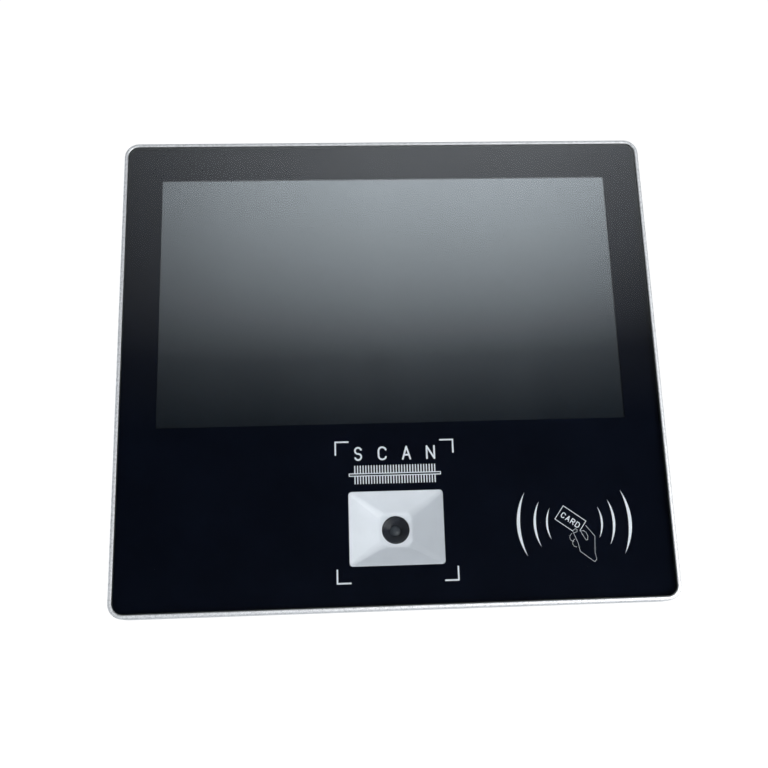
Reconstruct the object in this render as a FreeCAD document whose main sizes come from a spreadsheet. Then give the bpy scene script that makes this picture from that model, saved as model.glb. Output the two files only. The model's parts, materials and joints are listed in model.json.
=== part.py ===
import FreeCAD, Part
import math
import os
import re
import Sketcher

# The head of a self-service checkout terminal: a landscape panel with a display, a code
# scanner and a contactless card reader behind one cover glass, in a thin metal frame.
# Millimetres. +Z is up, +X is to the right seen from the front, and the front faces -Y.
# The origin is the centre of the four mounting nuts on the flat rear face, which is the
# plane y = 0. A "depth" is counted from the front of the rim towards the rear.

V = FreeCAD.Vector
document = FreeCAD.newDocument("CheckoutTerminal")
sheet = document.addObject("Spreadsheet::Sheet", "Sizes")

SIZES = {
    # whole terminal and front frame
    "total_depth": 42,
    "frame_width": 300,
    "frame_height": 266,
    "frame_depth": 16,
    "frame_corner": 8.2,
    "frame_wall": 2.5,
    "edge_round": 1.2,
    "rim_width": 2.1,
    "rim_bevel": 0.4,
    "ledge_width": 7.5,
    "ledge_thick": 2,
    # cover glass, print and tape
    "glass_gap": 0.15,
    "glass_recess": 0.2,
    "glass_thick": 3,
    "glass_chamfer": 0.3,
    "print_thick": 0.2,
    "tape_thick": 0.3,
    "tape_gap": 0.5,
    # display
    "screen_width": 256.3,
    "screen_height": 144.2,
    "screen_rise": 38.5,
    "screen_gap": 0.2,
    "print_reveal": 0.2,
    "bezel_reveal": 0.6,
    "bezel_lip": 0.4,
    "bezel_wall": 0.5,
    "panel_border": 2.9,
    "panel_thick": 1.1,
    "tray_border": 5.8,
    "tray_thick": 3.5,
    "tray_gap": 0.2,
    "pad_width": 12,
    "pad_height": 130,
    "pad_pitch": 58,
    # posts, bosses and screws
    "post_radius": 3.5,
    "post_overlap": 0.4,
    "side_post_rise": 92,
    "top_post_run": 95,
    "boss_radius": 3.3,
    "side_boss_rise": 46,
    "bore_radius": 1.5,
    "bore_depth": 8,
    "boss_bore_depth": 4,
    "clearance_radius": 1.7,
    "screw_radius": 1.45,
    "screw_head_radius": 2.6,
    "screw_head_height": 1.6,
    "drive_radius": 1,
    "drive_depth": 0.9,
    # mid plate
    "plate_depth": 11,
    "plate_thick": 1.2,
    "plate_gap": 0.5,
    "post_gap": 0.5,
    # rear cover
    "cover_sheet": 1.2,
    "cover_inset": 10,
    "cover_corner": 8,
    "cover_round": 3,
    "flange_gap": 0.3,
    "vent_count": 18,
    "vent_pitch": 6,
    "vent_width": 2.6,
    "vent_height": 30,
    "vent_rise": 84,
    "vent_drop": 78,
    # mounting nuts
    "mount_pitch": 75,
    "nut_bore_radius": 1.65,
    "nut_shank_radius": 3.5,
    "nut_flange_radius": 5,
    "nut_length": 6,
    # scan window, reflector and lens
    "scan_x": 0,
    "scan_drop": 90.5,
    "window_width": 50.8,
    "window_height": 39.3,
    "window_corner": 1.9,
    "reflector_gap": 0.1,
    "reflector_wall": 1.2,
    "reflector_flange": 3.6,
    "reflector_lip": 0.5,
    "reflector_lip_round": 1,
    "reflector_land": 1.35,
    "reflector_flat_corner": 4,
    "reflector_flat_round": 3,
    "reflector_deep": 11,
    "lens_hole_gap": 0.35,
    "barrel_radius": 7.2,
    "barrel_recess": 1.7,
    "barrel_length": 11.3,
    "barrel_lip": 0.7,
    "ring_count": 5,
    "ring_step": 0.75,
    "ring_rise": 0.85,
    "lens_radius": 3.1,
    "lens_bulge": 0.8,
    "holder_wall": 3.2,
    "holder_gap": 0.1,
    "holder_front": 18,
    "sensor_side": 8,
    "sensor_thick": 0.9,
    "sensor_board_depth": 29.5,
    "sensor_board_width": 40,
    "sensor_board_height": 34,
    "board_thick": 1.2,
    "housing_width": 68,
    "housing_height": 54,
    "housing_wall": 1.5,
    "housing_back": 35.5,
    "housing_ear": 9,
    "ear_thick": 2,
    # scan legend
    "bracket_width": 64.7,
    "bracket_height": 75.7,
    "bracket_rise": 9.3,
    "bracket_arm": 6.9,
    "bracket_pen": 0.85,
    "letter_width": 5,
    "letter_height": 7.6,
    "letter_pen": 0.95,
    "letter_pitch": 13.1,
    "letter_rise": 40.1,
    "tick_count": 30,
    "tick_pitch": 1.49,
    "tick_width": 0.62,
    "tick_height": 10,
    "rule_width": 49.8,
    "rule_thick": 1.75,
    "rule_line": 0.5,
    "rule_rise": 28.7,
    # contactless mark
    "card_x": 95.7,
    "card_drop": 90.8,
    "inner_wave_radius": 15.45,
    "middle_wave_radius": 22.2,
    "outer_wave_radius": 31.25,
    "inner_wave_thick": 1,
    "middle_wave_thick": 1.35,
    "outer_wave_thick": 1.8,
    "wave_half_angle": 33,
    "card_length": 14.8,
    "card_height": 8.9,
    "card_pen": 0.33,
    "card_tilt": 36,
    "card_shift": 2.1,
    "card_lift": 1.6,
    "card_letter_width": 2.3,
    "card_letter_height": 3.2,
    "card_letter_pen": 0.48,
    "card_letter_pitch": 3,
    "hand_pen": 0.17,
    "finger_radius": 2.1,
    # card reader
    "antenna_width": 70,
    "antenna_height": 46,
    "antenna_thick": 1,
    "antenna_gap": 0.1,
    "coil_thick": 0.1,
    "coil_track": 1,
    "coil_pitch": 2.2,
    "coil_turns": 4,
    "foam_width": 50,
    "foam_height": 30,
    # touch controller
    "touch_board_x": 70,
    "touch_board_drop": 50,
    "touch_board_width": 90,
    "touch_board_height": 14,
    "touch_board_thick": 1,
    "touch_film": 0.2,
    "flex_width": 20,
    "flex_thick": 0.3,
    "flex_bond": 3,
    # main board and its fittings
    "main_board_gap": 4.6,
    "main_board_rise": 0.8,
    "main_board_edge": 35.2,
    "main_board_drop": 1,
    "main_board_thick": 1.6,
    "standoff_height": 8,
    "standoff_radius": 2.6,
    "standoff_inset": 5,
    "low_standoff_drop": 0.5,
    "sink_x": -88,
    "sink_rise": -46,
    "sink_side": 46,
    "sink_base": 3,
    "sink_fin": 1.2,
    "sink_fin_pitch": 4,
    "sink_fins": 12,
    "sink_height": 12,
    "chip_side": 24,
    "chip_thick": 1.5,
    "memory_width": 11,
    "memory_height": 9,
    "memory_pitch": 15,
    "memory_shift": 3,
    "memory_gap": 3.5,
    "capacitor_radius": 3,
    "capacitor_tall": 8,
    "capacitor_pitch": 9,
    "capacitor_gap": 6,
    "choke_side": 10,
    "choke_tall": 4,
    "choke_shift": 4,
    "choke_lift": 28,
    "battery_radius": 8.5,
    "battery_thick": 4,
    "battery_shift": 2,
    "battery_drop": 30,
    # sockets along the bottom edge
    "port_gap": 0.4,
    "port_inset": 0.4,
    "shell_wall": 0.4,
    "power_x": -127.5,
    "power_width": 9,
    "power_tall": 11,
    "power_length": 14,
    "power_bore_radius": 3.2,
    "power_pin_radius": 1,
    "power_floor": 2,
    "power_pin_inset": 1,
    "audio_x": -118.5,
    "audio_width": 7,
    "audio_tall": 6.5,
    "audio_length": 12,
    "audio_bore_radius": 1.8,
    "audio_floor": 1,
    "lan_x": -103,
    "lan_width": 16,
    "lan_tall": 13.5,
    "lan_length": 21,
    "lan_plug_width": 11.8,
    "lan_plug_tall": 8.6,
    "lan_plug_length": 13,
    "lan_plug_lift": 2.4,
    "lan_latch_width": 4,
    "lan_latch_tall": 3,
    "lan_latch_lift": 1,
    "contact_count": 8,
    "contact_pitch": 1.02,
    "contact_width": 0.4,
    "contact_tall": 0.6,
    "contact_length": 7,
    "contact_inset": 5.5,
    "contact_bite": 0.2,
    "usb_left_x": -84,
    "usb_right_x": -66,
    "usb_width": 13.3,
    "usb_tall": 5.9,
    "usb_length": 17,
    "usb_tongue": 1.9,
    "usb_tongue_gap": 1,
    "usb_tongue_inset": 2,
    "video_x": -47,
    "video_width": 15,
    "video_tall": 5.6,
    "video_length": 12,
    "video_tongue": 0.9,
    "video_tongue_gap": 2,
    "video_tongue_inset": 1,
    "video_slope": 2.24,
    # speakers
    "speaker_x": 95,
    "speaker_width": 50,
    "speaker_height": 24,
    "speaker_length": 24,
    "speaker_gap": 1,
    "cone_radius": 9,
    "cone_rim": 1.2,
    "cone_deep": 4,
    "sound_slots": 9,
    "sound_pitch": 4.4,
    "sound_width": 2,
    "sound_length": 14,
    # buttons
    "button_depth": 28,
    "power_button_rise": 46,
    "volume_up_rise": 22,
    "volume_down_rise": 8,
    "power_cap_height": 9,
    "volume_cap_height": 11,
    "cap_width": 6,
    "cap_proud": 1.2,
    "cap_gap": 0.35,
    "cap_round": 0.4,
    "button_play": 0.3,
    "button_travel": 0.8,
    "button_flange": 1,
    "flange_lap": 1.2,
    "stem_radius": 1.2,
    "stem_length": 5.4,
    "stem_gap": 0.4,
    "switch_body": 4.6,
    "switch_side": 6.2,
    "switch_floor": 0.8,
    "button_board_width": 16,
    "button_board_height": 66,
    "bracket_sheet": 1,
    "bracket_foot": 10,
    # wiring
    "cable_radius": 1.1,
    "cable_bend": 3.2,
    "ribbon_width": 18,
    "ribbon_run": 49.5,
    "plug_width": 6,
    "plug_height": 8,
    "plug_thick": 3,
    "plug_gap": 1.7,
}

for row, (name, value) in enumerate(SIZES.items(), start=1):
    sheet.set("A%d" % row, name)
    sheet.set("B%d" % row, str(value))
    sheet.setAlias("B%d" % row, name)
document.recompute()

# Sizes that follow from the driving ones, as formulas.
GLASS_WIDTH = "(frame_width - 2 * (rim_width + glass_gap))"
GLASS_HEIGHT = "(frame_height - 2 * (rim_width + glass_gap))"
GLASS_CORNER = "(frame_corner - rim_width - glass_gap)"
RECESS_WIDTH = "(frame_width - 2 * rim_width)"
RECESS_HEIGHT = "(frame_height - 2 * rim_width)"
RECESS_CORNER = "(frame_corner - rim_width)"
LEDGE_OPEN_WIDTH = "(frame_width - 2 * (rim_width + ledge_width))"
LEDGE_OPEN_HEIGHT = "(frame_height - 2 * (rim_width + ledge_width))"
PRINT_FRONT = "(glass_recess + glass_thick)"
PRINT_BACK = "(glass_recess + glass_thick + print_thick)"
LEDGE_FRONT = "(glass_recess + glass_thick + print_thick + tape_thick)"
LEDGE_BACK = "(glass_recess + glass_thick + print_thick + tape_thick + ledge_thick)"
COVER_SEAT = "(frame_depth - cover_sheet)"
POST_X = "(frame_width / 2 - frame_wall - post_radius + post_overlap)"
POST_Z = "(frame_height / 2 - frame_wall - post_radius + post_overlap)"
PLATE_BACK = "(plate_depth + plate_thick)"
PAN_X = "(frame_width / 2 - cover_inset)"
PAN_Z = "(frame_height / 2 - cover_inset)"
BEZEL_FRONT = "(%s + screen_gap)" % PRINT_BACK
PANEL_FRONT = "(%s + bezel_lip)" % BEZEL_FRONT
TRAY_FRONT = "(%s + panel_thick)" % PANEL_FRONT
TRAY_BACK = "(%s + tray_thick)" % TRAY_FRONT
MODULE_WIDTH = "(screen_width + 2 * tray_border)"
MODULE_HEIGHT = "(screen_height + 2 * tray_border)"
REFLECTOR_FRONT = "(%s + reflector_gap)" % PRINT_BACK
REFLECTOR_FLAT = "(2 * (barrel_radius + lens_hole_gap + reflector_land))"
HOLDER_SIDE = "(2 * (barrel_radius + holder_gap + holder_wall))"
FLAT_FRONT = "(%s + reflector_deep)" % REFLECTOR_FRONT
BARREL_FRONT = "(%s + barrel_recess)" % FLAT_FRONT
SCAN_Z = "(0 - scan_drop)"
RULE_Z = "(rule_rise - scan_drop)"
CARD_Z = "(0 - card_drop)"
ANTENNA_FRONT = "(%s + antenna_gap)" % PRINT_BACK
ANTENNA_BACK = "(%s + antenna_thick)" % ANTENNA_FRONT
BOARD_FRONT = "(%s + standoff_height)" % PLATE_BACK
BOARD_BACK = "(%s + main_board_thick)" % BOARD_FRONT
BOARD_LEFT = "(main_board_gap + cover_sheet - %s)" % PAN_X
BOARD_BOTTOM = "(main_board_rise + cover_sheet - %s)" % PAN_Z
BOARD_RIGHT = "(0 - main_board_edge)"
BOARD_TOP = "(0 - main_board_drop)"
PORT_MOUTH = "(port_inset - %s)" % PAN_Z
CAP_BACK = "(%s - cover_sheet - button_play)" % PAN_X
BUTTON_INNER = "(%s - button_flange)" % CAP_BACK
STEM_END = "(%s - stem_length)" % BUTTON_INNER
SWITCH_BASE = "(%s - button_travel - stem_gap - switch_floor)" % STEM_END

POST_PLACES = [(side + POST_X, rise) for side in ("", "0 - ")
               for rise in ("0 - side_post_rise", "0", "side_post_rise")]
POST_PLACES += [(run, side + POST_Z) for side in ("", "0 - ")
                for run in ("0 - top_post_run", "top_post_run")]
BOSS_PLACES = [(side + POST_X, rise) for side in ("", "0 - ")
               for rise in ("0 - side_boss_rise", "side_boss_rise")]
BOSS_PLACES += [("0", side + POST_Z) for side in ("", "0 - ")]
MOUNT_PLACES = [(x, z) for x in ("0 - mount_pitch / 2", "mount_pitch / 2")
                for z in ("0 - mount_pitch / 2", "mount_pitch / 2")]


def formula(text):
    """Point every size name in the text at its cell."""
    return re.sub(r"[a-z_]\w*", lambda word: "Sizes." + word.group()
                  if word.group() in SIZES else word.group(), str(text))


def amount(text):
    """The present value of a formula."""
    return float(sheet.evalExpression(formula(text)))


def bind(item, **formulas):
    """Bind properties to formulas. Two underscores in a name stand for a full stop."""
    for name, text in formulas.items():
        item.setExpression(name.replace("__", "."), formula(text))
    return item


def behind(depth):
    """The y of a depth behind the front of the rim."""
    return "%s - total_depth" % depth


# ---------------------------------------------------------------- primitives

def box(name, x, depth, z, width, thick, height):
    """A box from its left, front and bottom."""
    item = document.addObject("Part::Box", name)
    bind(item, Length=width, Width=thick, Height=height)
    return bind(item, Placement__Base__x=x, Placement__Base__y=behind(depth), Placement__Base__z=z)


def centred_box(name, x, depth, z, width, thick, height):
    """A box centred on x and z, from its front."""
    return box(name, "%s - (%s) / 2" % (x, width), depth, "%s - (%s) / 2" % (z, height),
               width, thick, height)


TURNS = {"X": FreeCAD.Rotation(V(0, 1, 0), 90), "Y": FreeCAD.Rotation(V(1, 0, 0), -90),
         "Z": FreeCAD.Rotation()}


def rod(name, x, depth, z, radius, length, along="Y"):
    """A cylinder that starts at a place and runs along +X, +Y or +Z."""
    item = document.addObject("Part::Cylinder", name)
    item.Placement = FreeCAD.Placement(V(), TURNS[along])
    bind(item, Radius=radius, Height=length)
    return bind(item, Placement__Base__x=x, Placement__Base__y=behind(depth), Placement__Base__z=z)


def join(name, *pieces):
    item = document.addObject("Part::MultiFuse", name)
    item.Shapes = list(pieces)
    return item


def group(name, pieces):
    """Separate solids that make one sub-part."""
    item = document.addObject("Part::Compound", name)
    item.Links = list(pieces)
    return item


def cut(name, base, *tools):
    item = document.addObject("Part::Cut", name)
    item.Base = base
    item.Tool = tools[0] if len(tools) == 1 else join(name + "_tools", *tools)
    return item


# ---------------------------------------------------------------- bodies and sketches

def new_body(name):
    return document.addObject("PartDesign::Body", name)


def origin_feature(body, role):
    return next(item for item in body.Origin.OriginFeatures if item.Role == role)


def new_sketch(body, name, plane, x, y, offset):
    """A sketch on one of the body's planes, moved in that plane's own frame."""
    sketch = body.newObject("Sketcher::SketchObject", name)
    sketch.AttachmentSupport = [(origin_feature(body, plane), "")]
    sketch.MapMode = "FlatFace"
    return bind(sketch, AttachmentOffset__Base__x=x, AttachmentOffset__Base__y=y,
                AttachmentOffset__Base__z=offset)


def dimension(sketch, name, text, kind, *places):
    """A dimension of a sketch, bound to a formula."""
    number = sketch.addConstraint(Sketcher.Constraint(kind, *places, amount(text)))
    sketch.renameConstraint(number, name)
    bind(sketch, **{"Constraints__" + name: text})


def rounded_outline(body, name, plane, x, y, offset, width, height, corner):
    """A rounded rectangle centred on the sketch's own origin."""
    sketch = new_sketch(body, name, plane, x, y, offset)
    half_width, half_height, radius = amount(width) / 2, amount(height) / 2, amount(corner)
    ends = [(half_width - radius, -half_height), (half_width, half_height - radius),
            (radius - half_width, half_height), (-half_width, radius - half_height)]
    starts = [(radius - half_width, -half_height), (half_width, radius - half_height),
              (half_width - radius, half_height), (-half_width, half_height - radius)]
    for start, end in zip(starts, ends):
        sketch.addGeometry(Part.LineSegment(V(*start, 0), V(*end, 0)), False)
    for turn, (side, rise) in enumerate([(1, -1), (1, 1), (-1, 1), (-1, -1)]):
        centre = V(side * (half_width - radius), rise * (half_height - radius), 0)
        begin = (turn - 1) * math.pi / 2
        circle = Part.Circle(centre, V(0, 0, 1), radius)
        sketch.addGeometry(Part.ArcOfCircle(circle, begin, begin + math.pi / 2), False)
    for side in range(4):
        sketch.addConstraint(Sketcher.Constraint("Tangent", side, 2, 4 + side, 1))
        sketch.addConstraint(Sketcher.Constraint("Tangent", 4 + side, 2, (side + 1) % 4, 1))
        flat = "Horizontal" if side % 2 == 0 else "Vertical"
        sketch.addConstraint(Sketcher.Constraint(flat, side))
    sketch.addConstraint(Sketcher.Constraint("Equal", 4, 6))
    sketch.addConstraint(Sketcher.Constraint("Symmetric", 4, 3, 6, 3, -1, 1))
    dimension(sketch, "wide", width, "DistanceX", 3, 1, 1, 1)
    dimension(sketch, "tall", height, "DistanceY", 0, 1, 2, 1)
    dimension(sketch, "corner", corner, "Radius", 4)
    return sketch


def plate_outline(body, name, depth, width, height, corner, x="0", z="0"):
    """A rounded rectangle that faces the front, at a depth."""
    return rounded_outline(body, name, "XZ_Plane", x, z, "total_depth - (%s)" % depth,
                           width, height, corner)


def circles_outline(body, name, depth, places, radius):
    """Equal circles that face the front, at a depth."""
    sketch = new_sketch(body, name, "XZ_Plane", "0", "0", "total_depth - (%s)" % depth)
    for number, (x, z) in enumerate(places):
        centre = V(amount(x), amount(z), 0)
        sketch.addGeometry(Part.Circle(centre, V(0, 0, 1), amount(radius)), False)
        dimension(sketch, "across%d" % number, x, "DistanceX", -1, 1, number, 3)
        dimension(sketch, "along%d" % number, z, "DistanceY", -1, 1, number, 3)
        dimension(sketch, "round%d" % number, radius, "Radius", number)
    return sketch


def profile_outline(body, name, plane, offset, points):
    """A closed polygon of formula points in one of the body's planes."""
    sketch = new_sketch(body, name, plane, "0", "0", offset)
    corners = [V(amount(x), amount(y), 0) for x, y in points]
    for number, corner in enumerate(corners):
        following = corners[(number + 1) % len(corners)]
        sketch.addGeometry(Part.LineSegment(corner, following), False)
    for number, (x, y) in enumerate(points):
        following = (number + 1) % len(points)
        sketch.addConstraint(Sketcher.Constraint("Coincident", number, 2, following, 1))
        dimension(sketch, "across%d" % number, x, "DistanceX", -1, 1, number, 1)
        dimension(sketch, "along%d" % number, y, "DistanceY", -1, 1, number, 1)
    return sketch


def pad(sketch, thick, backwards=True):
    """Grow a sketch. Seen from the front, backwards is towards the rear."""
    body = sketch.getParentGeoFeatureGroup()
    feature = body.newObject("PartDesign::Pad", sketch.Name + "_pad")
    feature.Profile = sketch
    feature.Reversed = backwards
    return bind(feature, Length=thick)


def pocket(sketch, thick, forwards=False):
    """Cut a sketch away from its plane and prove that it removes something."""
    body = sketch.getParentGeoFeatureGroup()
    document.recompute()
    before = body.Shape.Volume
    feature = body.newObject("PartDesign::Pocket", sketch.Name + "_pocket")
    feature.Profile = sketch
    feature.Reversed = forwards
    bind(feature, Length=thick)
    document.recompute()
    if not body.Shape.Volume < before:
        raise RuntimeError("%s cuts nothing" % feature.Name)
    return feature


def loft(body, kind, first, second):
    """A ruled skin between two outlines, added to a body or cut from it."""
    feature = body.newObject("PartDesign::" + kind, second.Name + "_loft")
    feature.Profile = first
    feature.Sections = [(second, [""])]
    feature.Ruled = True
    body.Tip = feature
    return feature


def repeat(feature, axis, count, pitch):
    """Repeat a feature along one of its body's axes."""
    body = feature.getParentGeoFeatureGroup()
    pattern = body.newObject("PartDesign::LinearPattern", feature.Name + "_row")
    pattern.Originals = [feature]
    pattern.Direction = (origin_feature(body, axis), [""])
    pattern.Mode = "Spacing"
    bind(pattern, Occurrences=count, Offset=pitch)
    body.Tip = pattern
    return pattern


def edges_round(shape, axis, place, outside=True):
    """The edges round the outside, or round the holes, of the flat face at a place on an axis."""
    low, high = axis + "Min", axis + "Max"
    flat = [face for face in shape.Faces
            if abs(getattr(face.BoundBox, low) - place) < 0.001
            and abs(getattr(face.BoundBox, high) - place) < 0.001]
    face = max(flat, key=lambda candidate: candidate.Area)
    chosen = [edge for wire in face.Wires if wire.isSame(face.OuterWire) == outside
              for edge in wire.Edges]
    return ["Edge%d" % number for number, edge in enumerate(shape.Edges, start=1)
            if any(edge.isSame(one) for one in chosen)]


def soften(body, kind, name, size, axis, place, outside=True):
    """Fillet or chamfer the edges round a flat face of a body."""
    document.recompute()
    base = body.Tip
    feature = body.newObject("PartDesign::" + kind, name)
    feature.Base = (base, edges_round(base.Shape, axis, amount(place), outside))
    return bind(feature, **{"Radius" if kind == "Fillet" else "Size": size})


# ---------------------------------------------------------------- front

def front_frame():
    """The rim, the ledge behind the glass, the side walls, posts and bosses."""
    body = new_body("front_frame")
    pad(plate_outline(body, "frame_block", "0", "frame_width", "frame_height", "frame_corner"),
        "frame_depth")
    soften(body, "Fillet", "frame_edge", "edge_round", "Y", behind("0"))
    pocket(plate_outline(body, "glass_recess_cut", "0", RECESS_WIDTH, RECESS_HEIGHT, RECESS_CORNER),
           LEDGE_FRONT)
    soften(body, "Chamfer", "frame_bevel", "rim_bevel", "Y", behind("0"), outside=False)
    pocket(plate_outline(body, "ledge_opening", LEDGE_FRONT, LEDGE_OPEN_WIDTH, LEDGE_OPEN_HEIGHT,
                         GLASS_CORNER), "frame_depth")
    pocket(plate_outline(body, "frame_inside", LEDGE_BACK, "frame_width - 2 * frame_wall",
                         "frame_height - 2 * frame_wall", "frame_corner - frame_wall"),
           "frame_depth")
    pad(circles_outline(body, "posts", LEDGE_BACK, POST_PLACES, "post_radius"),
        "%s - %s" % (COVER_SEAT, LEDGE_BACK))
    pad(circles_outline(body, "bosses", LEDGE_BACK, BOSS_PLACES, "boss_radius"),
        "plate_depth - %s" % LEDGE_BACK)
    pocket(circles_outline(body, "post_bores", COVER_SEAT + " - bore_depth", POST_PLACES,
                           "bore_radius"), "frame_depth")
    pocket(circles_outline(body, "boss_bores", "plate_depth - boss_bore_depth", BOSS_PLACES,
                           "bore_radius"), "frame_depth")
    return body


def cover_glass():
    body = new_body("cover_glass")
    pad(plate_outline(body, "glass_sheet", "glass_recess", GLASS_WIDTH, GLASS_HEIGHT, GLASS_CORNER),
        "glass_thick")
    soften(body, "Chamfer", "glass_edge", "glass_chamfer", "Y", behind("glass_recess"))
    return body


def border_print(legends):
    """The black print on the back of the glass, open at the display, the scan window and
    wherever the white legends lie."""
    body = new_body("border_print_sheet")
    pad(plate_outline(body, "ink_sheet", PRINT_FRONT, GLASS_WIDTH, GLASS_HEIGHT, GLASS_CORNER),
        "print_thick")
    pocket(plate_outline(body, "screen_window", PRINT_FRONT, "screen_width + 2 * print_reveal",
                         "screen_height + 2 * print_reveal", "print_reveal", z="screen_rise"),
           "print_thick")
    pocket(plate_outline(body, "scan_window", PRINT_FRONT, "window_width", "window_height",
                         "window_corner", x="scan_x", z=SCAN_Z), "print_thick")
    return cut("black_border_print", body, group("legend_cuts", legends))


def adhesive_tape():
    body = new_body("glass_adhesive_tape")
    pad(plate_outline(body, "tape_outside", PRINT_BACK, GLASS_WIDTH + " - 2 * tape_gap",
                      GLASS_HEIGHT + " - 2 * tape_gap", GLASS_CORNER + " - tape_gap"),
        "tape_thick")
    pocket(plate_outline(body, "tape_inside", PRINT_BACK, LEDGE_OPEN_WIDTH, LEDGE_OPEN_HEIGHT,
                         GLASS_CORNER), "tape_thick")
    return body


# ---------------------------------------------------------------- printed legends
# Strokes are drawn in the x-z plane about a local centre and given the print's thickness.

def ink(shape):
    return shape.extrude(V(0, amount("print_thick"), 0))


def dot(x, z, pen):
    circle = Part.Circle(V(x, 0, z), V(0, 1, 0), pen / 2)
    return ink(Part.Face(Part.Wire(circle.toShape())))


def stroke(points, pen):
    """A line of straight strokes with round ends and corners."""
    pieces = [dot(x, z, pen) for x, z in points]
    for (x1, z1), (x2, z2) in zip(points, points[1:]):
        along = V(x2 - x1, 0, z2 - z1).normalize()
        side = V(-along.z, 0, along.x) * (pen / 2)
        start, end = V(x1, 0, z1), V(x2, 0, z2)
        outline = Part.makePolygon([start + side, end + side, end - side, start - side,
                                    start + side])
        pieces.append(ink(Part.Face(outline)))
    return pieces


def curve(x, z, radius, start, end, pen):
    """A round stroke about a centre, between two angles in degrees from +X towards +Z."""
    def place(distance, angle):
        turned = math.radians(angle)
        return V(x + distance * math.cos(turned), 0, z + distance * math.sin(turned))

    middle = (start + end) / 2
    outer, inner = radius + pen / 2, radius - pen / 2
    outline = Part.Wire([
        Part.Arc(place(outer, start), place(outer, middle), place(outer, end)).toShape(),
        Part.makeLine(place(outer, end), place(inner, end)),
        Part.Arc(place(inner, end), place(inner, middle), place(inner, start)).toShape(),
        Part.makeLine(place(inner, start), place(outer, start))])
    caps = [dot(tip.x, tip.z, pen) for tip in (place(radius, start), place(radius, end))]
    return [ink(Part.Face(outline))] + caps


def letter(sign, x, width, height, pen):
    """One capital letter, centred on x, in plain round-ended strokes."""
    w, h = (width - pen) / 2, (height - pen) / 2
    left, right = x - w, x + w
    if sign == "S":
        bowl = h / 2
        return curve(x, bowl, bowl, 20, 270, pen) + curve(x, -bowl, bowl, -160, 90, pen)
    if sign == "C":
        return (curve(x, h - w, w, 20, 180, pen)
                + stroke([(left, h - w), (left, w - h)], pen)
                + curve(x, w - h, w, 180, 340, pen))
    if sign == "A":
        bar = -h / 3
        foot = w * 2 / 3
        return (stroke([(left, -h), (x, h), (right, -h)], pen)
                + stroke([(x - foot, bar), (x + foot, bar)], pen))
    if sign == "N":
        return stroke([(left, -h), (left, h), (right, -h), (right, h)], pen)
    if sign == "R":
        bend = h / 2
        return (stroke([(left, -h), (left, h), (right - bend, h)], pen)
                + curve(right - bend, bend, bend, -90, 90, pen)
                + stroke([(right - bend, 0), (left, 0)], pen)
                + stroke([(x, 0), (right, -h)], pen))
    return (stroke([(right - w, -h), (left, -h), (left, h), (right - w, h)], pen)
            + curve(right - w, h - w, w, 0, 90, pen)
            + stroke([(right, h - w), (right, w - h)], pen)
            + curve(right - w, w - h, w, -90, 0, pen))


def word(signs, width, height, pen, pitch):
    """Letters in a row about the local centre."""
    first = -pitch * (len(signs) - 1) / 2
    pieces = []
    for number, sign in enumerate(signs):
        pieces += letter(sign, first + number * pitch, width, height, pen)
    return pieces


def fused(pieces):
    return pieces[0].multiFuse(pieces[1:]).removeSplitter()


def printed(name, shape, x, z, tilt=0):
    """A sub-part from a drawn shape, placed on the back of the glass."""
    item = document.addObject("Part::Feature", name)
    item.Shape = shape
    item.Placement = FreeCAD.Placement(V(), FreeCAD.Rotation(V(0, 1, 0), tilt))
    return bind(item, Placement__Base__x=x, Placement__Base__y=behind(PRINT_FRONT),
                Placement__Base__z=z)


def scan_legend_print():
    """The word over the scan window and the four corner brackets round it."""
    letters = word("SCAN", amount("letter_width"), amount("letter_height"), amount("letter_pen"),
                   amount("letter_pitch"))
    rise = amount("letter_rise")
    for piece in letters:
        piece.translate(V(0, 0, rise))
    half_width, half_height = amount("bracket_width") / 2, amount("bracket_height") / 2
    arm, pen, centre = amount("bracket_arm"), amount("bracket_pen"), amount("bracket_rise")
    brackets = []
    for side in (-1, 1):
        for up in (-1, 1):
            x, z = side * (half_width - pen / 2), centre + up * (half_height - pen / 2)
            brackets += stroke([(x - side * arm, z), (x, z), (x, z - up * arm)], pen)
    return printed("scan_legend_print", fused(letters + brackets), "scan_x", SCAN_Z)


def barcode_ruler_print():
    """A row of upright ticks crossed by a long bar drawn in outline."""
    body = new_body("barcode_ruler_print")
    pad(plate_outline(body, "rule_bar", PRINT_FRONT, "rule_width", "rule_thick", "rule_line / 2",
                      x="scan_x", z=RULE_Z), "print_thick")
    tick = pad(plate_outline(body, "rule_tick", PRINT_FRONT, "tick_width", "tick_height",
                             "tick_width / 4", x="scan_x - tick_pitch * (tick_count - 1) / 2",
                             z=RULE_Z), "print_thick")
    repeat(tick, "X_Axis", "tick_count", "tick_pitch")
    pocket(plate_outline(body, "rule_slot", PRINT_FRONT, "rule_width - 2 * rule_line",
                         "rule_thick - 2 * rule_line", "rule_line / 4", x="scan_x", z=RULE_Z),
           "print_thick")
    return body


def contactless_waves_print():
    """Three waves each side of the card mark, each tapering to points at both ends."""
    waves = []
    for wave in ("inner", "middle", "outer"):
        radius, thick = wave + "_wave_radius", wave + "_wave_thick"
        shift = ("((2 * {r} * {t} - {t} ^ 2) / (2 * ({r} * (1 - cos(wave_half_angle)) - {t})))"
                 .format(r=radius, t=thick))
        disc = rod(wave + "_wave_disc", "card_x", PRINT_FRONT, CARD_Z, radius, "print_thick")
        hollow = rod(wave + "_wave_hollow", "card_x + " + shift, PRINT_FRONT, CARD_Z,
                     "%s + %s - %s" % (radius, shift, thick), "print_thick")
        left = cut(wave + "_wave_left", disc, hollow)
        right = document.addObject("Part::Mirroring", wave + "_wave_right")
        right.Source = left
        right.Normal = V(1, 0, 0)
        bind(right, Base__x="card_x")
        waves += [left, right]
    return group("contactless_waves_print", waves)


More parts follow.
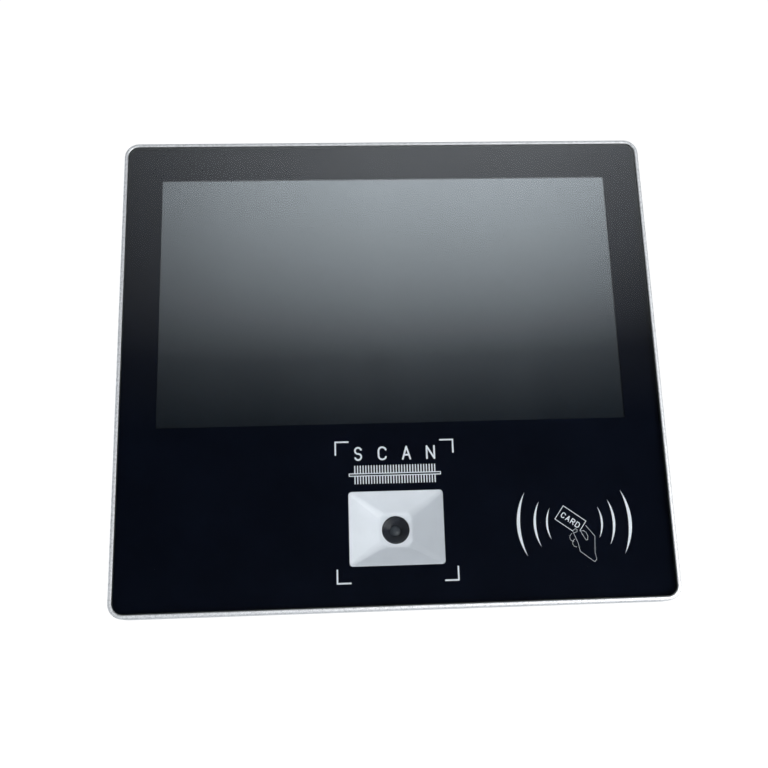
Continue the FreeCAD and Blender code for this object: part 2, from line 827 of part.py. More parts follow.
# Corners of the pictogram's lines, about the mark's centre, in millimetres.
HAND_LINE = [(6, -1.6), (10.5, -7.2), (9.9, -16), (10.6, -19.3), (9.4, -20.8), (2, -15.1),
             (1.2, -10.8), (-0.4, -6.6), (-1.3, -4.4)]
PALM_LINE = [(2.9, -4.4), (5.6, -9.3), (6.4, -9.1), (6.7, -7.2), (5.9, -5.2), (4.5, -4.2),
             (2.9, -4.4)]
THUMB_LINE = [(-1.1, -4), (0, -3.1), (1.1, -3.5), (1, -4.7), (-0.7, -5.3)]
FINGER_PLACES = [(-1, -7.6), (0.3, -10.6)]
FINGER_START, FINGER_END = 110, 270


def card_hand_print():
    """A hand that holds up a card. The card's outline is open where the thumb crosses it."""
    pen = amount("card_pen")
    w, h = (amount("card_length") - pen) / 2, (amount("card_height") - pen) / 2
    thumb_side, palm_side = 0.55 * w, -0.4 * h
    card = stroke([(thumb_side, -h), (-w, -h), (-w, h), (w, h), (w, palm_side)], pen)
    card += word("CARD", amount("card_letter_width"), amount("card_letter_height"),
                 amount("card_letter_pen"), amount("card_letter_pitch"))
    tilted = fused(card)
    tilted.rotate(V(), V(0, 1, 0), amount("card_tilt"))
    tilted.translate(V(-amount("card_shift"), 0, amount("card_lift")))
    pen, finger = amount("hand_pen"), amount("finger_radius")
    hand = stroke(HAND_LINE, pen) + stroke(PALM_LINE, pen) + stroke(THUMB_LINE, pen)
    for x, z in FINGER_PLACES:
        hand += curve(x, z, finger, FINGER_START, FINGER_END, pen)
    return printed("card_hand_print", fused([tilted] + hand), "card_x", CARD_Z)


# ---------------------------------------------------------------- display

def lcd_bezel():
    body = new_body("lcd_bezel")
    pad(plate_outline(body, "bezel_block", BEZEL_FRONT, MODULE_WIDTH, MODULE_HEIGHT, "bezel_wall",
                      z="screen_rise"), "%s - %s" % (TRAY_BACK, BEZEL_FRONT))
    pocket(plate_outline(body, "bezel_opening", BEZEL_FRONT, "screen_width + 2 * bezel_reveal",
                         "screen_height + 2 * bezel_reveal", "bezel_reveal", z="screen_rise"),
           "bezel_lip")
    pocket(plate_outline(body, "bezel_inside", PANEL_FRONT, MODULE_WIDTH + " - 2 * bezel_wall",
                         MODULE_HEIGHT + " - 2 * bezel_wall", "bezel_wall / 2", z="screen_rise"),
           "%s - %s + bezel_lip" % (TRAY_BACK, PANEL_FRONT))
    return body


def lcd_panel():
    return centred_box("lcd_panel", "0", PANEL_FRONT, "screen_rise",
                       "screen_width + 2 * panel_border", "panel_thick",
                       "screen_height + 2 * panel_border")


def backlight_unit():
    return centred_box("backlight_unit", "0", TRAY_FRONT, "screen_rise",
                       MODULE_WIDTH + " - 2 * (bezel_wall + tray_gap)", "tray_thick",
                       MODULE_HEIGHT + " - 2 * (bezel_wall + tray_gap)")


def lcd_support_pads():
    pads = [centred_box("lcd_pad_%d" % number, "pad_pitch * %g" % (number - 2), TRAY_BACK,
                        "screen_rise", "pad_width", "plate_depth - " + TRAY_BACK, "pad_height")
            for number in range(5)]
    return group("lcd_support_pads", pads)


def touch_controller_board():
    return centred_box("touch_controller_board", "touch_board_x", PLATE_BACK + " + touch_film",
                       "0 - touch_board_drop", "touch_board_width", "touch_board_thick",
                       "touch_board_height")


FLEX_Z = "(screen_rise - %s / 2 - flex_bond)" % MODULE_HEIGHT


def touch_flex_cable():
    """A flat strip from the back of the glass, through the mid plate, on to its board."""
    body = new_body("touch_flex_cable")
    front, back = PRINT_BACK, "(%s + touch_film + touch_board_thick)" % PLATE_BACK
    low = "(0 - touch_board_drop)"
    points = [(behind(front), FLEX_Z + " + flex_bond / 2"),
              (behind(front + " + flex_thick"), FLEX_Z + " + flex_bond / 2"),
              (behind(front + " + flex_thick"), FLEX_Z),
              (behind(back + " + flex_thick"), FLEX_Z),
              (behind(back + " + flex_thick"), low),
              (behind(back), low),
              (behind(back), FLEX_Z + " - flex_thick"),
              (behind(front), FLEX_Z + " - flex_thick")]
    strip = pad(profile_outline(body, "flex_profile", "YZ_Plane", "touch_board_x", points),
                "flex_width", backwards=False)
    strip.Midplane = True
    return body


# ---------------------------------------------------------------- mid plate

def mid_plate():
    """The steel plate that carries the boards, notched round the frame's posts."""
    body = new_body("mid_plate")
    pad(plate_outline(body, "plate_sheet", "plate_depth",
                      "frame_width - 2 * (frame_wall + plate_gap)",
                      "frame_height - 2 * (frame_wall + plate_gap)",
                      "frame_corner - frame_wall - plate_gap"), "plate_thick")
    pocket(circles_outline(body, "post_notches", "plate_depth", POST_PLACES,
                           "post_radius + post_gap"), "plate_thick")
    pocket(circles_outline(body, "boss_holes", "plate_depth", BOSS_PLACES, "clearance_radius"),
           "plate_thick")
    pocket(plate_outline(body, "scan_opening", "plate_depth",
                         "housing_width - 2 * housing_wall", "housing_height - 2 * housing_wall",
                         "housing_wall", x="scan_x", z=SCAN_Z), "plate_thick")
    pocket(plate_outline(body, "flex_slot", "plate_depth", "flex_width + 2 * post_gap",
                         "6 * flex_thick", "flex_thick", x="touch_board_x",
                         z=FLEX_Z + " - flex_thick / 2"), "plate_thick")
    pocket(plate_outline(body, "ribbon_slot", "plate_depth", "ribbon_width + 2 * post_gap",
                         "6 * flex_thick", "flex_thick", x=RIBBON_X, z=RIBBON_Z), "plate_thick")
    pocket(circles_outline(body, "card_cable_hole", "plate_depth", [(CARD_CABLE_X, CARD_CABLE_Z)],
                           "cable_radius + post_gap"), "plate_thick")
    pocket(circles_outline(body, "housing_holes", "plate_depth", EAR_PLACES, "bore_radius"),
           "plate_thick")
    pocket(circles_outline(body, "standoff_holes", "plate_depth", STANDOFF_PLACES, "bore_radius"),
           "plate_thick")
    return body


def screw(name, x, z, seat, shank):
    """A pan-head screw driven from the rear: its head lies behind the seat, its shank before."""
    head = rod(name + "_head", x, seat, z, "screw_head_radius", "screw_head_height")
    stem = rod(name + "_shank", x, "%s - (%s)" % (seat, shank), z, "screw_radius", shank)
    drive = rod(name + "_drive", x, seat + " + screw_head_height - drive_depth", z, "drive_radius",
                "drive_depth")
    return cut(name, join(name + "_blank", head, stem), drive)


def screws(name, places, seat, shank):
    return group(name, [screw("%s_%d" % (name, number), x, z, seat, shank)
                        for number, (x, z) in enumerate(places)])


# ---------------------------------------------------------------- scanner

def scan_reflector():
    """A white hollow pyramid with rounded creases, a flange round its mouth and a lens hole."""
    body = new_body("scan_reflector")

    def outline(name, depth, width, height, corner):
        return plate_outline(body, name, depth, width, height, corner, x="scan_x", z=SCAN_Z)

    pad(outline("reflector_flange_plate", REFLECTOR_FRONT, "window_width + 2 * reflector_flange",
                "window_height + 2 * reflector_flange", "window_corner + reflector_flange"),
        "reflector_wall")
    loft(body, "AdditiveLoft",
         outline("shell_mouth", REFLECTOR_FRONT, "window_width + 2 * reflector_wall",
                 "window_height + 2 * reflector_wall", "window_corner + reflector_wall"),
         outline("shell_floor", FLAT_FRONT + " + reflector_wall",
                 REFLECTOR_FLAT + " + 2 * reflector_wall", REFLECTOR_FLAT + " + 2 * reflector_wall",
                 "reflector_flat_corner + reflector_wall"))
    loft(body, "SubtractiveLoft",
         outline("funnel_mouth", REFLECTOR_FRONT, "window_width - 2 * reflector_lip",
                 "window_height - 2 * reflector_lip", "window_corner"),
         outline("funnel_floor", FLAT_FRONT, REFLECTOR_FLAT, REFLECTOR_FLAT,
                 "reflector_flat_corner"))
    pocket(circles_outline(body, "reflector_hole", REFLECTOR_FRONT, [("scan_x", SCAN_Z)],
                           "barrel_radius + lens_hole_gap"), "reflector_deep + 2 * reflector_wall")
    soften(body, "Fillet", "funnel_floor_edge", "reflector_flat_round", "Y", behind(FLAT_FRONT))
    soften(body, "Fillet", "funnel_mouth_edge", "reflector_lip_round", "Y",
           behind(REFLECTOR_FRONT), outside=False)
    return body


def scan_lens_barrel():
    """A turned barrel whose mouth steps inward in concentric rings."""
    steps = int(amount("ring_count"))
    outer = rod("barrel_blank", "scan_x", BARREL_FRONT, SCAN_Z, "barrel_radius", "barrel_length")
    rings = [rod("barrel_ring_%d" % step, "scan_x", BARREL_FRONT, SCAN_Z,
                 "barrel_radius - barrel_lip - ring_step * %d" % step,
                 "ring_rise * %d" % (step + 1)) for step in range(steps)]
    seat = rod("barrel_bore", "scan_x", BARREL_FRONT, SCAN_Z, "lens_radius", "barrel_length")
    return cut("scan_lens_barrel", outer, *rings, seat)


def scan_lens_glass():
    """The front lens: a disc with a domed face."""
    disc = rod("lens_disc", "scan_x", "%s + ring_rise * ring_count" % BARREL_FRONT, SCAN_Z,
               "lens_radius - holder_gap", "lens_bulge * 2")
    dome = document.addObject("Part::Sphere", "lens_dome")
    bend = "(lens_radius ^ 2 + lens_bulge ^ 2) / (2 * lens_bulge)"
    bind(dome, Radius=bend, Placement__Base__x="scan_x", Placement__Base__z=SCAN_Z,
         Placement__Base__y=behind("%s + ring_rise * ring_count + %s" % (BARREL_FRONT, bend)))
    lens = document.addObject("Part::Common", "scan_lens_glass")
    lens.Base = disc
    lens.Tool = dome
    return lens


def scan_lens_holder():
    block = centred_box("holder_block", "scan_x", "holder_front", SCAN_Z, HOLDER_SIDE,
                        "sensor_board_depth - holder_front", HOLDER_SIDE)
    bore = rod("holder_bore", "scan_x", "holder_front", SCAN_Z, "barrel_radius + holder_gap",
               "sensor_board_depth - holder_front")
    return cut("scan_lens_holder", block, bore)


def scan_image_sensor():
    return centred_box("scan_image_sensor", "scan_x", "sensor_board_depth - sensor_thick", SCAN_Z,
                       "sensor_side", "sensor_thick", "sensor_side")


def scan_sensor_board():
    return centred_box("scan_sensor_board", "scan_x", "sensor_board_depth", SCAN_Z,
                       "sensor_board_width", "board_thick", "sensor_board_height")


SENSOR_BACK = "(sensor_board_depth + board_thick)"
HOUSING_FLOOR = "(housing_back - housing_wall)"
CABLE_DEPTH = "(%s + plug_thick / 2)" % SENSOR_BACK
EAR_PLACES = [("scan_x %s (housing_width + housing_ear) / 2" % side,
               "%s %s (housing_height - housing_ear) / 2" % (SCAN_Z, rise))
              for side in "+-" for rise in "+-"]


def scan_module_housing():
    """A tray behind the mid plate with four screw ears and four bosses for the sensor board."""
    body = new_body("scan_module_housing")
    pad(plate_outline(body, "housing_block", PLATE_BACK, "housing_width", "housing_height",
                      "2 * housing_wall", x="scan_x", z=SCAN_Z), "housing_back - " + PLATE_BACK)
    for number, (x, z) in enumerate(EAR_PLACES):
        pad(plate_outline(body, "housing_ear_%d" % number, PLATE_BACK, "housing_ear * 1.5",
                          "housing_ear", "housing_ear / 4", x=x, z=z), "ear_thick")
    pocket(plate_outline(body, "housing_inside", PLATE_BACK, "housing_width - 2 * housing_wall",
                         "housing_height - 2 * housing_wall", "housing_wall", x="scan_x",
                         z=SCAN_Z), "%s - %s" % (HOUSING_FLOOR, PLATE_BACK))
    bosses = [("scan_x %s (sensor_board_width - standoff_inset) / 2" % side,
               "%s %s (sensor_board_height - standoff_inset) / 2" % (SCAN_Z, rise))
              for side in "+-" for rise in "+-"]
    pad(circles_outline(body, "sensor_bosses", SENSOR_BACK, bosses, "standoff_inset / 2"),
        "housing_back - " + SENSOR_BACK)
    pocket(circles_outline(body, "ear_holes", PLATE_BACK, EAR_PLACES, "clearance_radius"),
           "ear_thick")
    exit_hole = new_sketch(body, "cable_exit", "YZ_Plane", behind(CABLE_DEPTH), SCAN_Z,
                           "scan_x - housing_width / 2 - housing_wall")
    exit_hole.addGeometry(Part.Circle(V(), V(0, 0, 1), amount("cable_radius + post_gap")), False)
    exit_hole.addConstraint(Sketcher.Constraint("Coincident", 0, 3, -1, 1))
    dimension(exit_hole, "round", "cable_radius + post_gap", "Radius", 0)
    pocket(exit_hole, "3 * housing_wall", forwards=True)
    return body


# ---------------------------------------------------------------- card reader

CARD_CABLE_X = "(card_x - antenna_width / 2 + plug_width)"
CARD_CABLE_Z = "(%s + antenna_height / 2 - plug_width / 2)" % CARD_Z


def nfc_antenna_board():
    return centred_box("nfc_antenna_board", "card_x", ANTENNA_FRONT, CARD_Z, "antenna_width",
                       "antenna_thick", "antenna_height")


def nfc_antenna_coil():
    """Flat copper turns, one inside the other, on the back of the antenna board."""
    turns = []
    for turn in range(int(amount("coil_turns"))):
        outer_inset = "(2 * coil_pitch * %d + 2 * coil_pitch)" % turn
        inner_inset = "(%s + 2 * coil_track)" % outer_inset
        outer = centred_box("coil_outer_%d" % turn, "card_x", ANTENNA_BACK, CARD_Z,
                            "antenna_width - %s" % outer_inset, "coil_thick",
                            "antenna_height - %s" % outer_inset)
        inner = centred_box("coil_inner_%d" % turn, "card_x", ANTENNA_BACK, CARD_Z,
                            "antenna_width - %s" % inner_inset, "coil_thick",
                            "antenna_height - %s" % inner_inset)
        turns.append(cut("coil_turn_%d" % turn, outer, inner))
    return group("nfc_antenna_coil", turns)


def nfc_foam_pad():
    front = ANTENNA_BACK + " + coil_thick"
    return centred_box("nfc_foam_pad", "card_x", front, CARD_Z, "foam_width",
                       "plate_depth - (%s)" % front, "foam_height")


# ---------------------------------------------------------------- main board

STANDOFF_PLACES = [(x, z) for x in (BOARD_LEFT + " + standoff_inset",
                                    BOARD_RIGHT + " - standoff_inset")
                   for z in (SCAN_Z + " - low_standoff_drop", BOARD_TOP + " - standoff_inset")]
MEMORY_Z = "(sink_rise + (sink_side + memory_height) / 2 + memory_gap)"
CAPACITOR_Z = "(%s + lan_length + capacitor_radius + capacitor_gap)" % BOARD_BOTTOM
RIBBON_X = "(%s - ribbon_run)" % BOARD_RIGHT
RIBBON_Z = "(%s - 2 * plug_height)" % BOARD_TOP


def main_board():
    board = box("board_blank", BOARD_LEFT, BOARD_FRONT, BOARD_BOTTOM,
                "%s - %s" % (BOARD_RIGHT, BOARD_LEFT), "main_board_thick",
                "%s - %s" % (BOARD_TOP, BOARD_BOTTOM))
    holes = [rod("board_hole_%d" % number, x, BOARD_FRONT, z, "clearance_radius",
                 "main_board_thick") for number, (x, z) in enumerate(STANDOFF_PLACES)]
    return cut("main_board", board, *holes)


def board_standoffs():
    """Tapped pillars between the mid plate and the main board."""
    pillars = []
    for number, (x, z) in enumerate(STANDOFF_PLACES):
        post = rod("standoff_post_%d" % number, x, PLATE_BACK, z, "standoff_radius",
                   "standoff_height")
        bore = rod("standoff_bore_%d" % number, x, PLATE_BACK, z, "bore_radius", "standoff_height")
        pillars.append(cut("standoff_%d" % number, post, bore))
    return group("board_standoffs", pillars)


def board_chips():
    """The processor and the smaller parts on the rear of the main board."""
    chips = [centred_box("processor", "sink_x", BOARD_BACK, "sink_rise", "chip_side", "chip_thick",
                         "chip_side")]
    for number in range(3):
        chips.append(centred_box("memory_%d" % number,
                                 "sink_x + memory_shift + memory_pitch * %d" % (number - 1),
                                 BOARD_BACK, MEMORY_Z, "memory_width", "chip_thick",
                                 "memory_height"))
    for number in range(4):
        chips.append(rod("capacitor_%d" % number, "audio_x + capacitor_pitch * %d" % number,
                         BOARD_BACK, CAPACITOR_Z, "capacitor_radius", "capacitor_tall"))
    chips.append(centred_box("power_choke", "power_x + choke_shift", BOARD_BACK,
                             "sink_rise + choke_lift", "choke_side", "choke_tall", "choke_side"))
    chips.append(rod("clock_battery", "video_x - battery_shift", BOARD_BACK,
                     "sink_rise - battery_drop", "battery_radius", "battery_thick"))
    return group("board_chips", chips)


def heatsink():
    """A finned block on the processor."""
    body = new_body("heatsink")
    pad(plate_outline(body, "sink_plate", BOARD_BACK + " + chip_thick", "sink_side", "sink_side",
                      "sink_fin / 2", x="sink_x", z="sink_rise"), "sink_base")
    fin = pad(plate_outline(body, "sink_fin_outline", BOARD_BACK + " + chip_thick", "sink_fin",
                            "sink_side", "sink_fin / 4", z="sink_rise",
                            x="sink_x - sink_fin_pitch * (sink_fins - 1) / 2"), "sink_height")
    repeat(fin, "X_Axis", "sink_fins", "sink_fin_pitch")
    return body


# ---------------------------------------------------------------- sockets

def socket_block(name, x, width, tall, length):
    """A block on the rear of the main board whose mouth faces down."""
    return box(name, "%s - %s / 2" % (x, width), BOARD_BACK, PORT_MOUTH, width, tall, length)


def socket_cavity(name, x, width, tall, length):
    """The space inside a socket's shell, open at the mouth."""
    return box(name, "%s - %s / 2 + shell_wall" % (x, width), BOARD_BACK + " + shell_wall",
               PORT_MOUTH, width + " - 2 * shell_wall", tall + " - 2 * shell_wall",
               length + " - 2 * shell_wall")


def dc_power_jack():
    block = socket_block("power_block", "power_x", "power_width", "power_tall", "power_length")
    middle = BOARD_BACK + " + power_tall / 2"
    bore = rod("power_bore", "power_x", middle, PORT_MOUTH, "power_bore_radius",
               "power_length - power_floor", along="Z")
    pin = rod("power_pin", "power_x", middle, PORT_MOUTH + " + power_pin_inset",
              "power_pin_radius", "power_length - power_pin_inset", along="Z")
    return join("dc_power_jack", cut("power_shell", block, bore), pin)


def audio_jack():
    block = socket_block("audio_block", "audio_x", "audio_width", "audio_tall", "audio_length")
    bore = rod("audio_bore", "audio_x", BOARD_BACK + " + audio_tall / 2", PORT_MOUTH,
               "audio_bore_radius", "audio_length - audio_floor", along="Z")
    return cut("audio_jack", block, bore)


def lan_socket():
    """A network socket with a notch for the plug's latch and eight contacts."""
    block = socket_block("lan_block", "lan_x", "lan_width", "lan_tall", "lan_length")
    middle = PORT_MOUTH + " + lan_plug_length / 2"
    space = centred_box("lan_space", "lan_x", BOARD_BACK + " + lan_plug_lift", middle,
                        "lan_plug_width", "lan_plug_tall", "lan_plug_length")
    latch = centred_box("lan_latch", "lan_x", BOARD_BACK + " + lan_latch_lift", middle,
                        "lan_latch_width", "lan_latch_tall", "lan_plug_length")
    count = int(amount("contact_count"))
    contacts = [centred_box("lan_contact_%d" % number,
                            "lan_x + contact_pitch * (%d - (contact_count - 1) / 2)" % number,
                            BOARD_BACK
                            + " + lan_plug_lift + lan_plug_tall - contact_tall + contact_bite",
                            PORT_MOUTH + " + contact_inset + contact_length / 2",
                            "contact_width", "contact_tall", "contact_length")
                for number in range(count)]
    return join("lan_socket", cut("lan_shell", block, space, latch), *contacts)


def usb_socket(name, x):
    """A thin shell round a flat tongue that stands off one long side."""
    shell = cut(name + "_shell", socket_block(name + "_block", x, "usb_width", "usb_tall", "usb_length"),
                socket_cavity(name + "_cavity", x, "usb_width", "usb_tall", "usb_length"))
    tongue = centred_box(name + "_tongue", x, BOARD_BACK + " + usb_tall - shell_wall - usb_tongue",
                         PORT_MOUTH + " + (usb_length + usb_tongue_inset) / 2",
                         "usb_width - 2 * usb_tongue_gap", "usb_tongue",
                         "usb_length - usb_tongue_inset")
    return join(name, shell, tongue)


def video_socket():
    """A display socket with two sloping corners and a thin central tongue."""
    body = new_body("video_shell")
    left, right = "video_x - video_width / 2", "video_x + video_width / 2"
    near, far = BOARD_BACK, "(%s + video_tall)" % BOARD_BACK
    slope = "video_slope"

    def outline(name, inset, start):
        points = [(left + " + %s + %s" % (inset, slope), behind("%s + %s" % (near, inset))),
                  (right + " - %s - %s" % (inset, slope), behind("%s + %s" % (near, inset))),
                  (right + " - %s" % inset, behind("%s + %s" % (near, slope))),
                  (right + " - %s" % inset, behind("%s - %s" % (far, inset))),
                  (left + " + %s" % inset, behind("%s - %s" % (far, inset))),
                  (left + " + %s" % inset, behind("%s + %s" % (near, slope)))]
        return profile_outline(body, name, "XY_Plane", start, points)

    pad(outline("video_outside", "0", PORT_MOUTH), "video_length", backwards=False)
    pocket(outline("video_inside", "shell_wall", PORT_MOUTH), "video_length - 2 * shell_wall",
           forwards=True)
    tongue = centred_box("video_tongue_plate", "video_x",
                         BOARD_BACK + " + (video_tall - video_tongue) / 2",
                         PORT_MOUTH + " + (video_length + video_tongue_inset) / 2",
                         "video_width - 2 * video_tongue_gap", "video_tongue",
                         "video_length - video_tongue_inset")
    return join("hdmi_socket", body, tongue)


# ---------------------------------------------------------------- speakers

SPEAKER_TOP = "(%s - cover_sheet - speaker_gap)" % PAN_Z
SPEAKER_DEPTH = "(%s + speaker_length / 2)" % PLATE_BACK


def speaker_boxes():
    """Two closed boxes on the mid plate, each open at the top for its cone."""
    boxes = []
    for name, x in (("left", "0 - speaker_x"), ("right", "speaker_x")):
        block = box(name + "_speaker_block", "%s - speaker_width / 2" % x, PLATE_BACK,
                    SPEAKER_TOP + " - speaker_height", "speaker_width", "speaker_length",
                    "speaker_height")
        hole = rod(name + "_speaker_hole", x, SPEAKER_DEPTH, SPEAKER_TOP + " - cone_deep * 2",
                   "cone_radius", "cone_deep * 2", along="Z")
        boxes.append(cut(name + "_speaker_box", block, hole))
    return group("speaker_boxes", boxes)


def speaker_cones():
    """Two paper cones with a dust cap, their rims level with the tops of the boxes."""
    cones = []
    for name, x in (("left", "0 - speaker_x"), ("right", "speaker_x")):
        parts = []
        for layer, drop in (("face", "0"), ("back", "cone_rim")):
            item = document.addObject("Part::Cone", "%s_cone_%s" % (name, layer))
            bind(item, Radius1="cone_radius / 3", Radius2="cone_radius - coil_thick",
                 Height="cone_deep", Placement__Base__x=x,
                 Placement__Base__y=behind(SPEAKER_DEPTH),
                 Placement__Base__z="%s - cone_deep - %s" % (SPEAKER_TOP, drop))
            parts.append(item)
        face, back = parts
        rim = rod(name + "_cone_rim", x, SPEAKER_DEPTH, SPEAKER_TOP + " - cone_rim",
                  "cone_radius - coil_thick", "cone_rim", along="Z")
        cap = document.addObject("Part::Sphere", name + "_dust_cap")
        bind(cap, Radius="cone_radius / 3", Placement__Base__x=x,
             Placement__Base__y=behind(SPEAKER_DEPTH),
             Placement__Base__z=SPEAKER_TOP + " - cone_deep")
        hollow = cut(name + "_cone_hollow", join(name + "_cone_blank", back, rim), face)
        cones.append(join(name + "_speaker_cone", hollow, cap))
    return group("speaker_cones", cones)


# ---------------------------------------------------------------- buttons

BUTTONS = {"power": ("power_button_rise", "power_cap_height"),
           "volume_up": ("volume_up_rise", "volume_cap_height"),
           "volume_down": ("volume_down_rise", "volume_cap_height")}


def side_outline(body, name, x, rise, width, height, corner):
    """A rounded rectangle that faces the right-hand side, at the buttons' depth."""
    return rounded_outline(body, name, "YZ_Plane", behind("button_depth"), rise, x, width, height,
                           corner)


def push_button(name, rise, height):
    """A cap that passes through the side wall, with a flange that keeps it in."""
    body = new_body(name + "_button")
    pad(side_outline(body, name + "_flange", BUTTON_INNER, rise, "cap_width + 2 * flange_lap",
                     height + " + 2 * flange_lap", "cap_width / 3"), "button_flange",
        backwards=False)
    pad(side_outline(body, name + "_cap", CAP_BACK, rise, "cap_width", height, "cap_width * 0.45"),
        "button_play + cover_sheet + cap_proud", backwards=False)
    soften(body, "Fillet", name + "_cap_edge", "cap_round", "X", PAN_X + " + cap_proud")
    return body


def switch_stem(name, rise):
    return rod(name + "_switch_stem", STEM_END, "button_depth", rise, "stem_radius", "stem_length",
               along="X")


def tact_switch_bodies():
    """A switch body behind each button, bored for its stem."""
    switches = []
    for name, (rise, _) in BUTTONS.items():
        block = box(name + "_switch_block", SWITCH_BASE, "button_depth - switch_side / 2",
                    "%s - switch_side / 2" % rise, "switch_body", "switch_side", "switch_side")
        bore = rod(name + "_switch_bore", SWITCH_BASE + " + switch_floor", "button_depth", rise,
                   "stem_radius + stem_gap", "switch_body", along="X")
        switches.append(cut(name + "_switch_body", block, bore))
    return group("tact_switch_bodies", switches)


BUTTON_BOARD_X = "(%s - board_thick)" % SWITCH_BASE
BUTTON_BOARD_Z = "((power_button_rise + volume_down_rise) / 2)"


def button_board():
    return box("button_board", BUTTON_BOARD_X, "button_depth - button_board_width / 2",
               BUTTON_BOARD_Z + " - button_board_height / 2", "board_thick", "button_board_width",
               "button_board_height")


def button_bracket():
    """A bent strip on the mid plate that holds the button board upright."""
    body = new_body("button_bracket")
    face, outer = BUTTON_BOARD_X + " - bracket_sheet", BUTTON_BOARD_X
    top = "(button_depth + button_board_width / 2)"
    points = [(outer, behind(PLATE_BACK)), (outer, behind(top)), (face, behind(top)),
              (face, behind(PLATE_BACK + " + bracket_sheet")),
              (face + " - bracket_foot", behind(PLATE_BACK + " + bracket_sheet")),
              (face + " - bracket_foot", behind(PLATE_BACK))]
    pad(profile_outline(body, "bracket_profile", "XY_Plane",
                        BUTTON_BOARD_Z + " - button_board_height / 2", points),
        "button_board_height", backwards=False)
    return body


# ---------------------------------------------------------------- wiring

def cable_shape(points):
    """A round cable through formula points (x, depth, z), with an arc at every bend."""
    route = [V(amount(x), amount(behind(depth)), amount(z)) for x, depth, z in points]
    bend, radius = amount("cable_bend"), amount("cable_radius")
    edges = []
    start = route[0]
    for before, corner, after in zip(route, route[1:], route[2:]):
        arriving, leaving = (corner - before).normalize(), (after - corner).normalize()
        reach = bend * math.tan(arriving.getAngle(leaving) / 2)
        entry, leave = corner - arriving * reach, corner + leaving * reach
        inward = (leaving - arriving).normalize()
        centre = corner + inward * math.hypot(bend, reach)
        edges.append(Part.makeLine(start, entry))
        edges.append(Part.Arc(entry, centre - inward * bend, leave).toShape())
        start = leave
    edges.append(Part.makeLine(start, route[-1]))
    circle = Part.Wire(Part.Circle(route[0], route[1] - route[0], radius).toShape())
    return Part.Wire(edges).makePipeShell([circle], True, False)


def wiring(name, routes):
    item = document.addObject("Part::Feature", name)
    shapes = [cable_shape(points) for points in routes]
    item.Shape = shapes[0] if len(shapes) == 1 else Part.makeCompound(shapes)
    item.Placement = FreeCAD.Placement()
    return item


def plug_at(name, x, depth, z):
    return centred_box(name, x, depth, z, "plug_width", "plug_thick", "plug_height")


CABLE_LAYER = "(%s + 2 * plug_thick)" % BOARD_BACK
SCAN_PLUG_X = "(%s - 3 * plug_width)" % BOARD_RIGHT
SENSOR_PLUG_X = "(scan_x - sensor_board_width / 2 + plug_width)"
PANEL_PLUG_Z = "(%s - plug_height)" % BOARD_TOP
RIGHT_PLUG_X = ("(sink_x + memory_shift - memory_pitch - (memory_width + plug_width) / 2"
                " - plug_gap)")
LEFT_PLUG_X = "(%s - 2 * plug_width)" % RIGHT_PLUG_X
BUTTON_PLUG_X = "(%s - 3.5 * plug_width)" % BOARD_RIGHT
SPEAKER_FLOOR = "(%s - speaker_height)" % SPEAKER_TOP
BUTTON_CABLE_Z = "((power_button_rise + volume_up_rise) / 2)"
BUTTON_CABLE_DEPTH = "(button_depth + button_board_width / 4)"
CARD_RUN_Z = "(%s + housing_height / 2 + 3 * cable_radius)" % SCAN_Z


def board_connectors():
    """Low plugs where each cable meets a board."""
    places = {"scan_plug": (SCAN_PLUG_X, BOARD_BACK, SCAN_Z),
              "sensor_plug": (SENSOR_PLUG_X, SENSOR_BACK, SCAN_Z),
              "left_speaker_plug": (LEFT_PLUG_X, BOARD_BACK, PANEL_PLUG_Z),
              "right_speaker_plug": (RIGHT_PLUG_X, BOARD_BACK, PANEL_PLUG_Z),
              "button_plug": (BUTTON_PLUG_X, BOARD_BACK, PANEL_PLUG_Z)}
    return group("board_connectors", [plug_at(name, *place) for name, place in places.items()])


def scan_cable():
    top = BOARD_BACK + " + plug_thick"
    return wiring("scan_cable", [[
        (SENSOR_PLUG_X + " - plug_width / 2", CABLE_DEPTH, SCAN_Z),
        (SCAN_PLUG_X, CABLE_DEPTH, SCAN_Z),
        (SCAN_PLUG_X, top, SCAN_Z)]])


def speaker_cables():
    top = BOARD_BACK + " + plug_thick"
    crossing = "(%s - 4 * cable_bend)" % SPEAKER_FLOOR
    left = [("0 - speaker_x", CABLE_LAYER, SPEAKER_FLOOR),
            ("0 - speaker_x", CABLE_LAYER, crossing),
            (LEFT_PLUG_X, CABLE_LAYER, crossing),
            (LEFT_PLUG_X, CABLE_LAYER, PANEL_PLUG_Z),
            (LEFT_PLUG_X, top, PANEL_PLUG_Z)]
    lower = "(%s - 2 * cable_bend)" % crossing
    right = [("speaker_x", CABLE_LAYER, SPEAKER_FLOOR),
             ("speaker_x", CABLE_LAYER, lower),
             (RIGHT_PLUG_X, CABLE_LAYER, lower),
             (RIGHT_PLUG_X, CABLE_LAYER, PANEL_PLUG_Z),
             (RIGHT_PLUG_X, top, PANEL_PLUG_Z)]
    return wiring("speaker_cables", [left, right])


def button_cable():
    back = BUTTON_BOARD_X + " - bracket_sheet"
    return wiring("button_cable", [[
        (back, BUTTON_CABLE_DEPTH, BUTTON_CABLE_Z),
        (BUTTON_PLUG_X, BUTTON_CABLE_DEPTH, BUTTON_CABLE_Z),
        (BUTTON_PLUG_X, BUTTON_CABLE_DEPTH, PANEL_PLUG_Z),
        (BUTTON_PLUG_X, BOARD_BACK + " + plug_thick", PANEL_PLUG_Z)]])


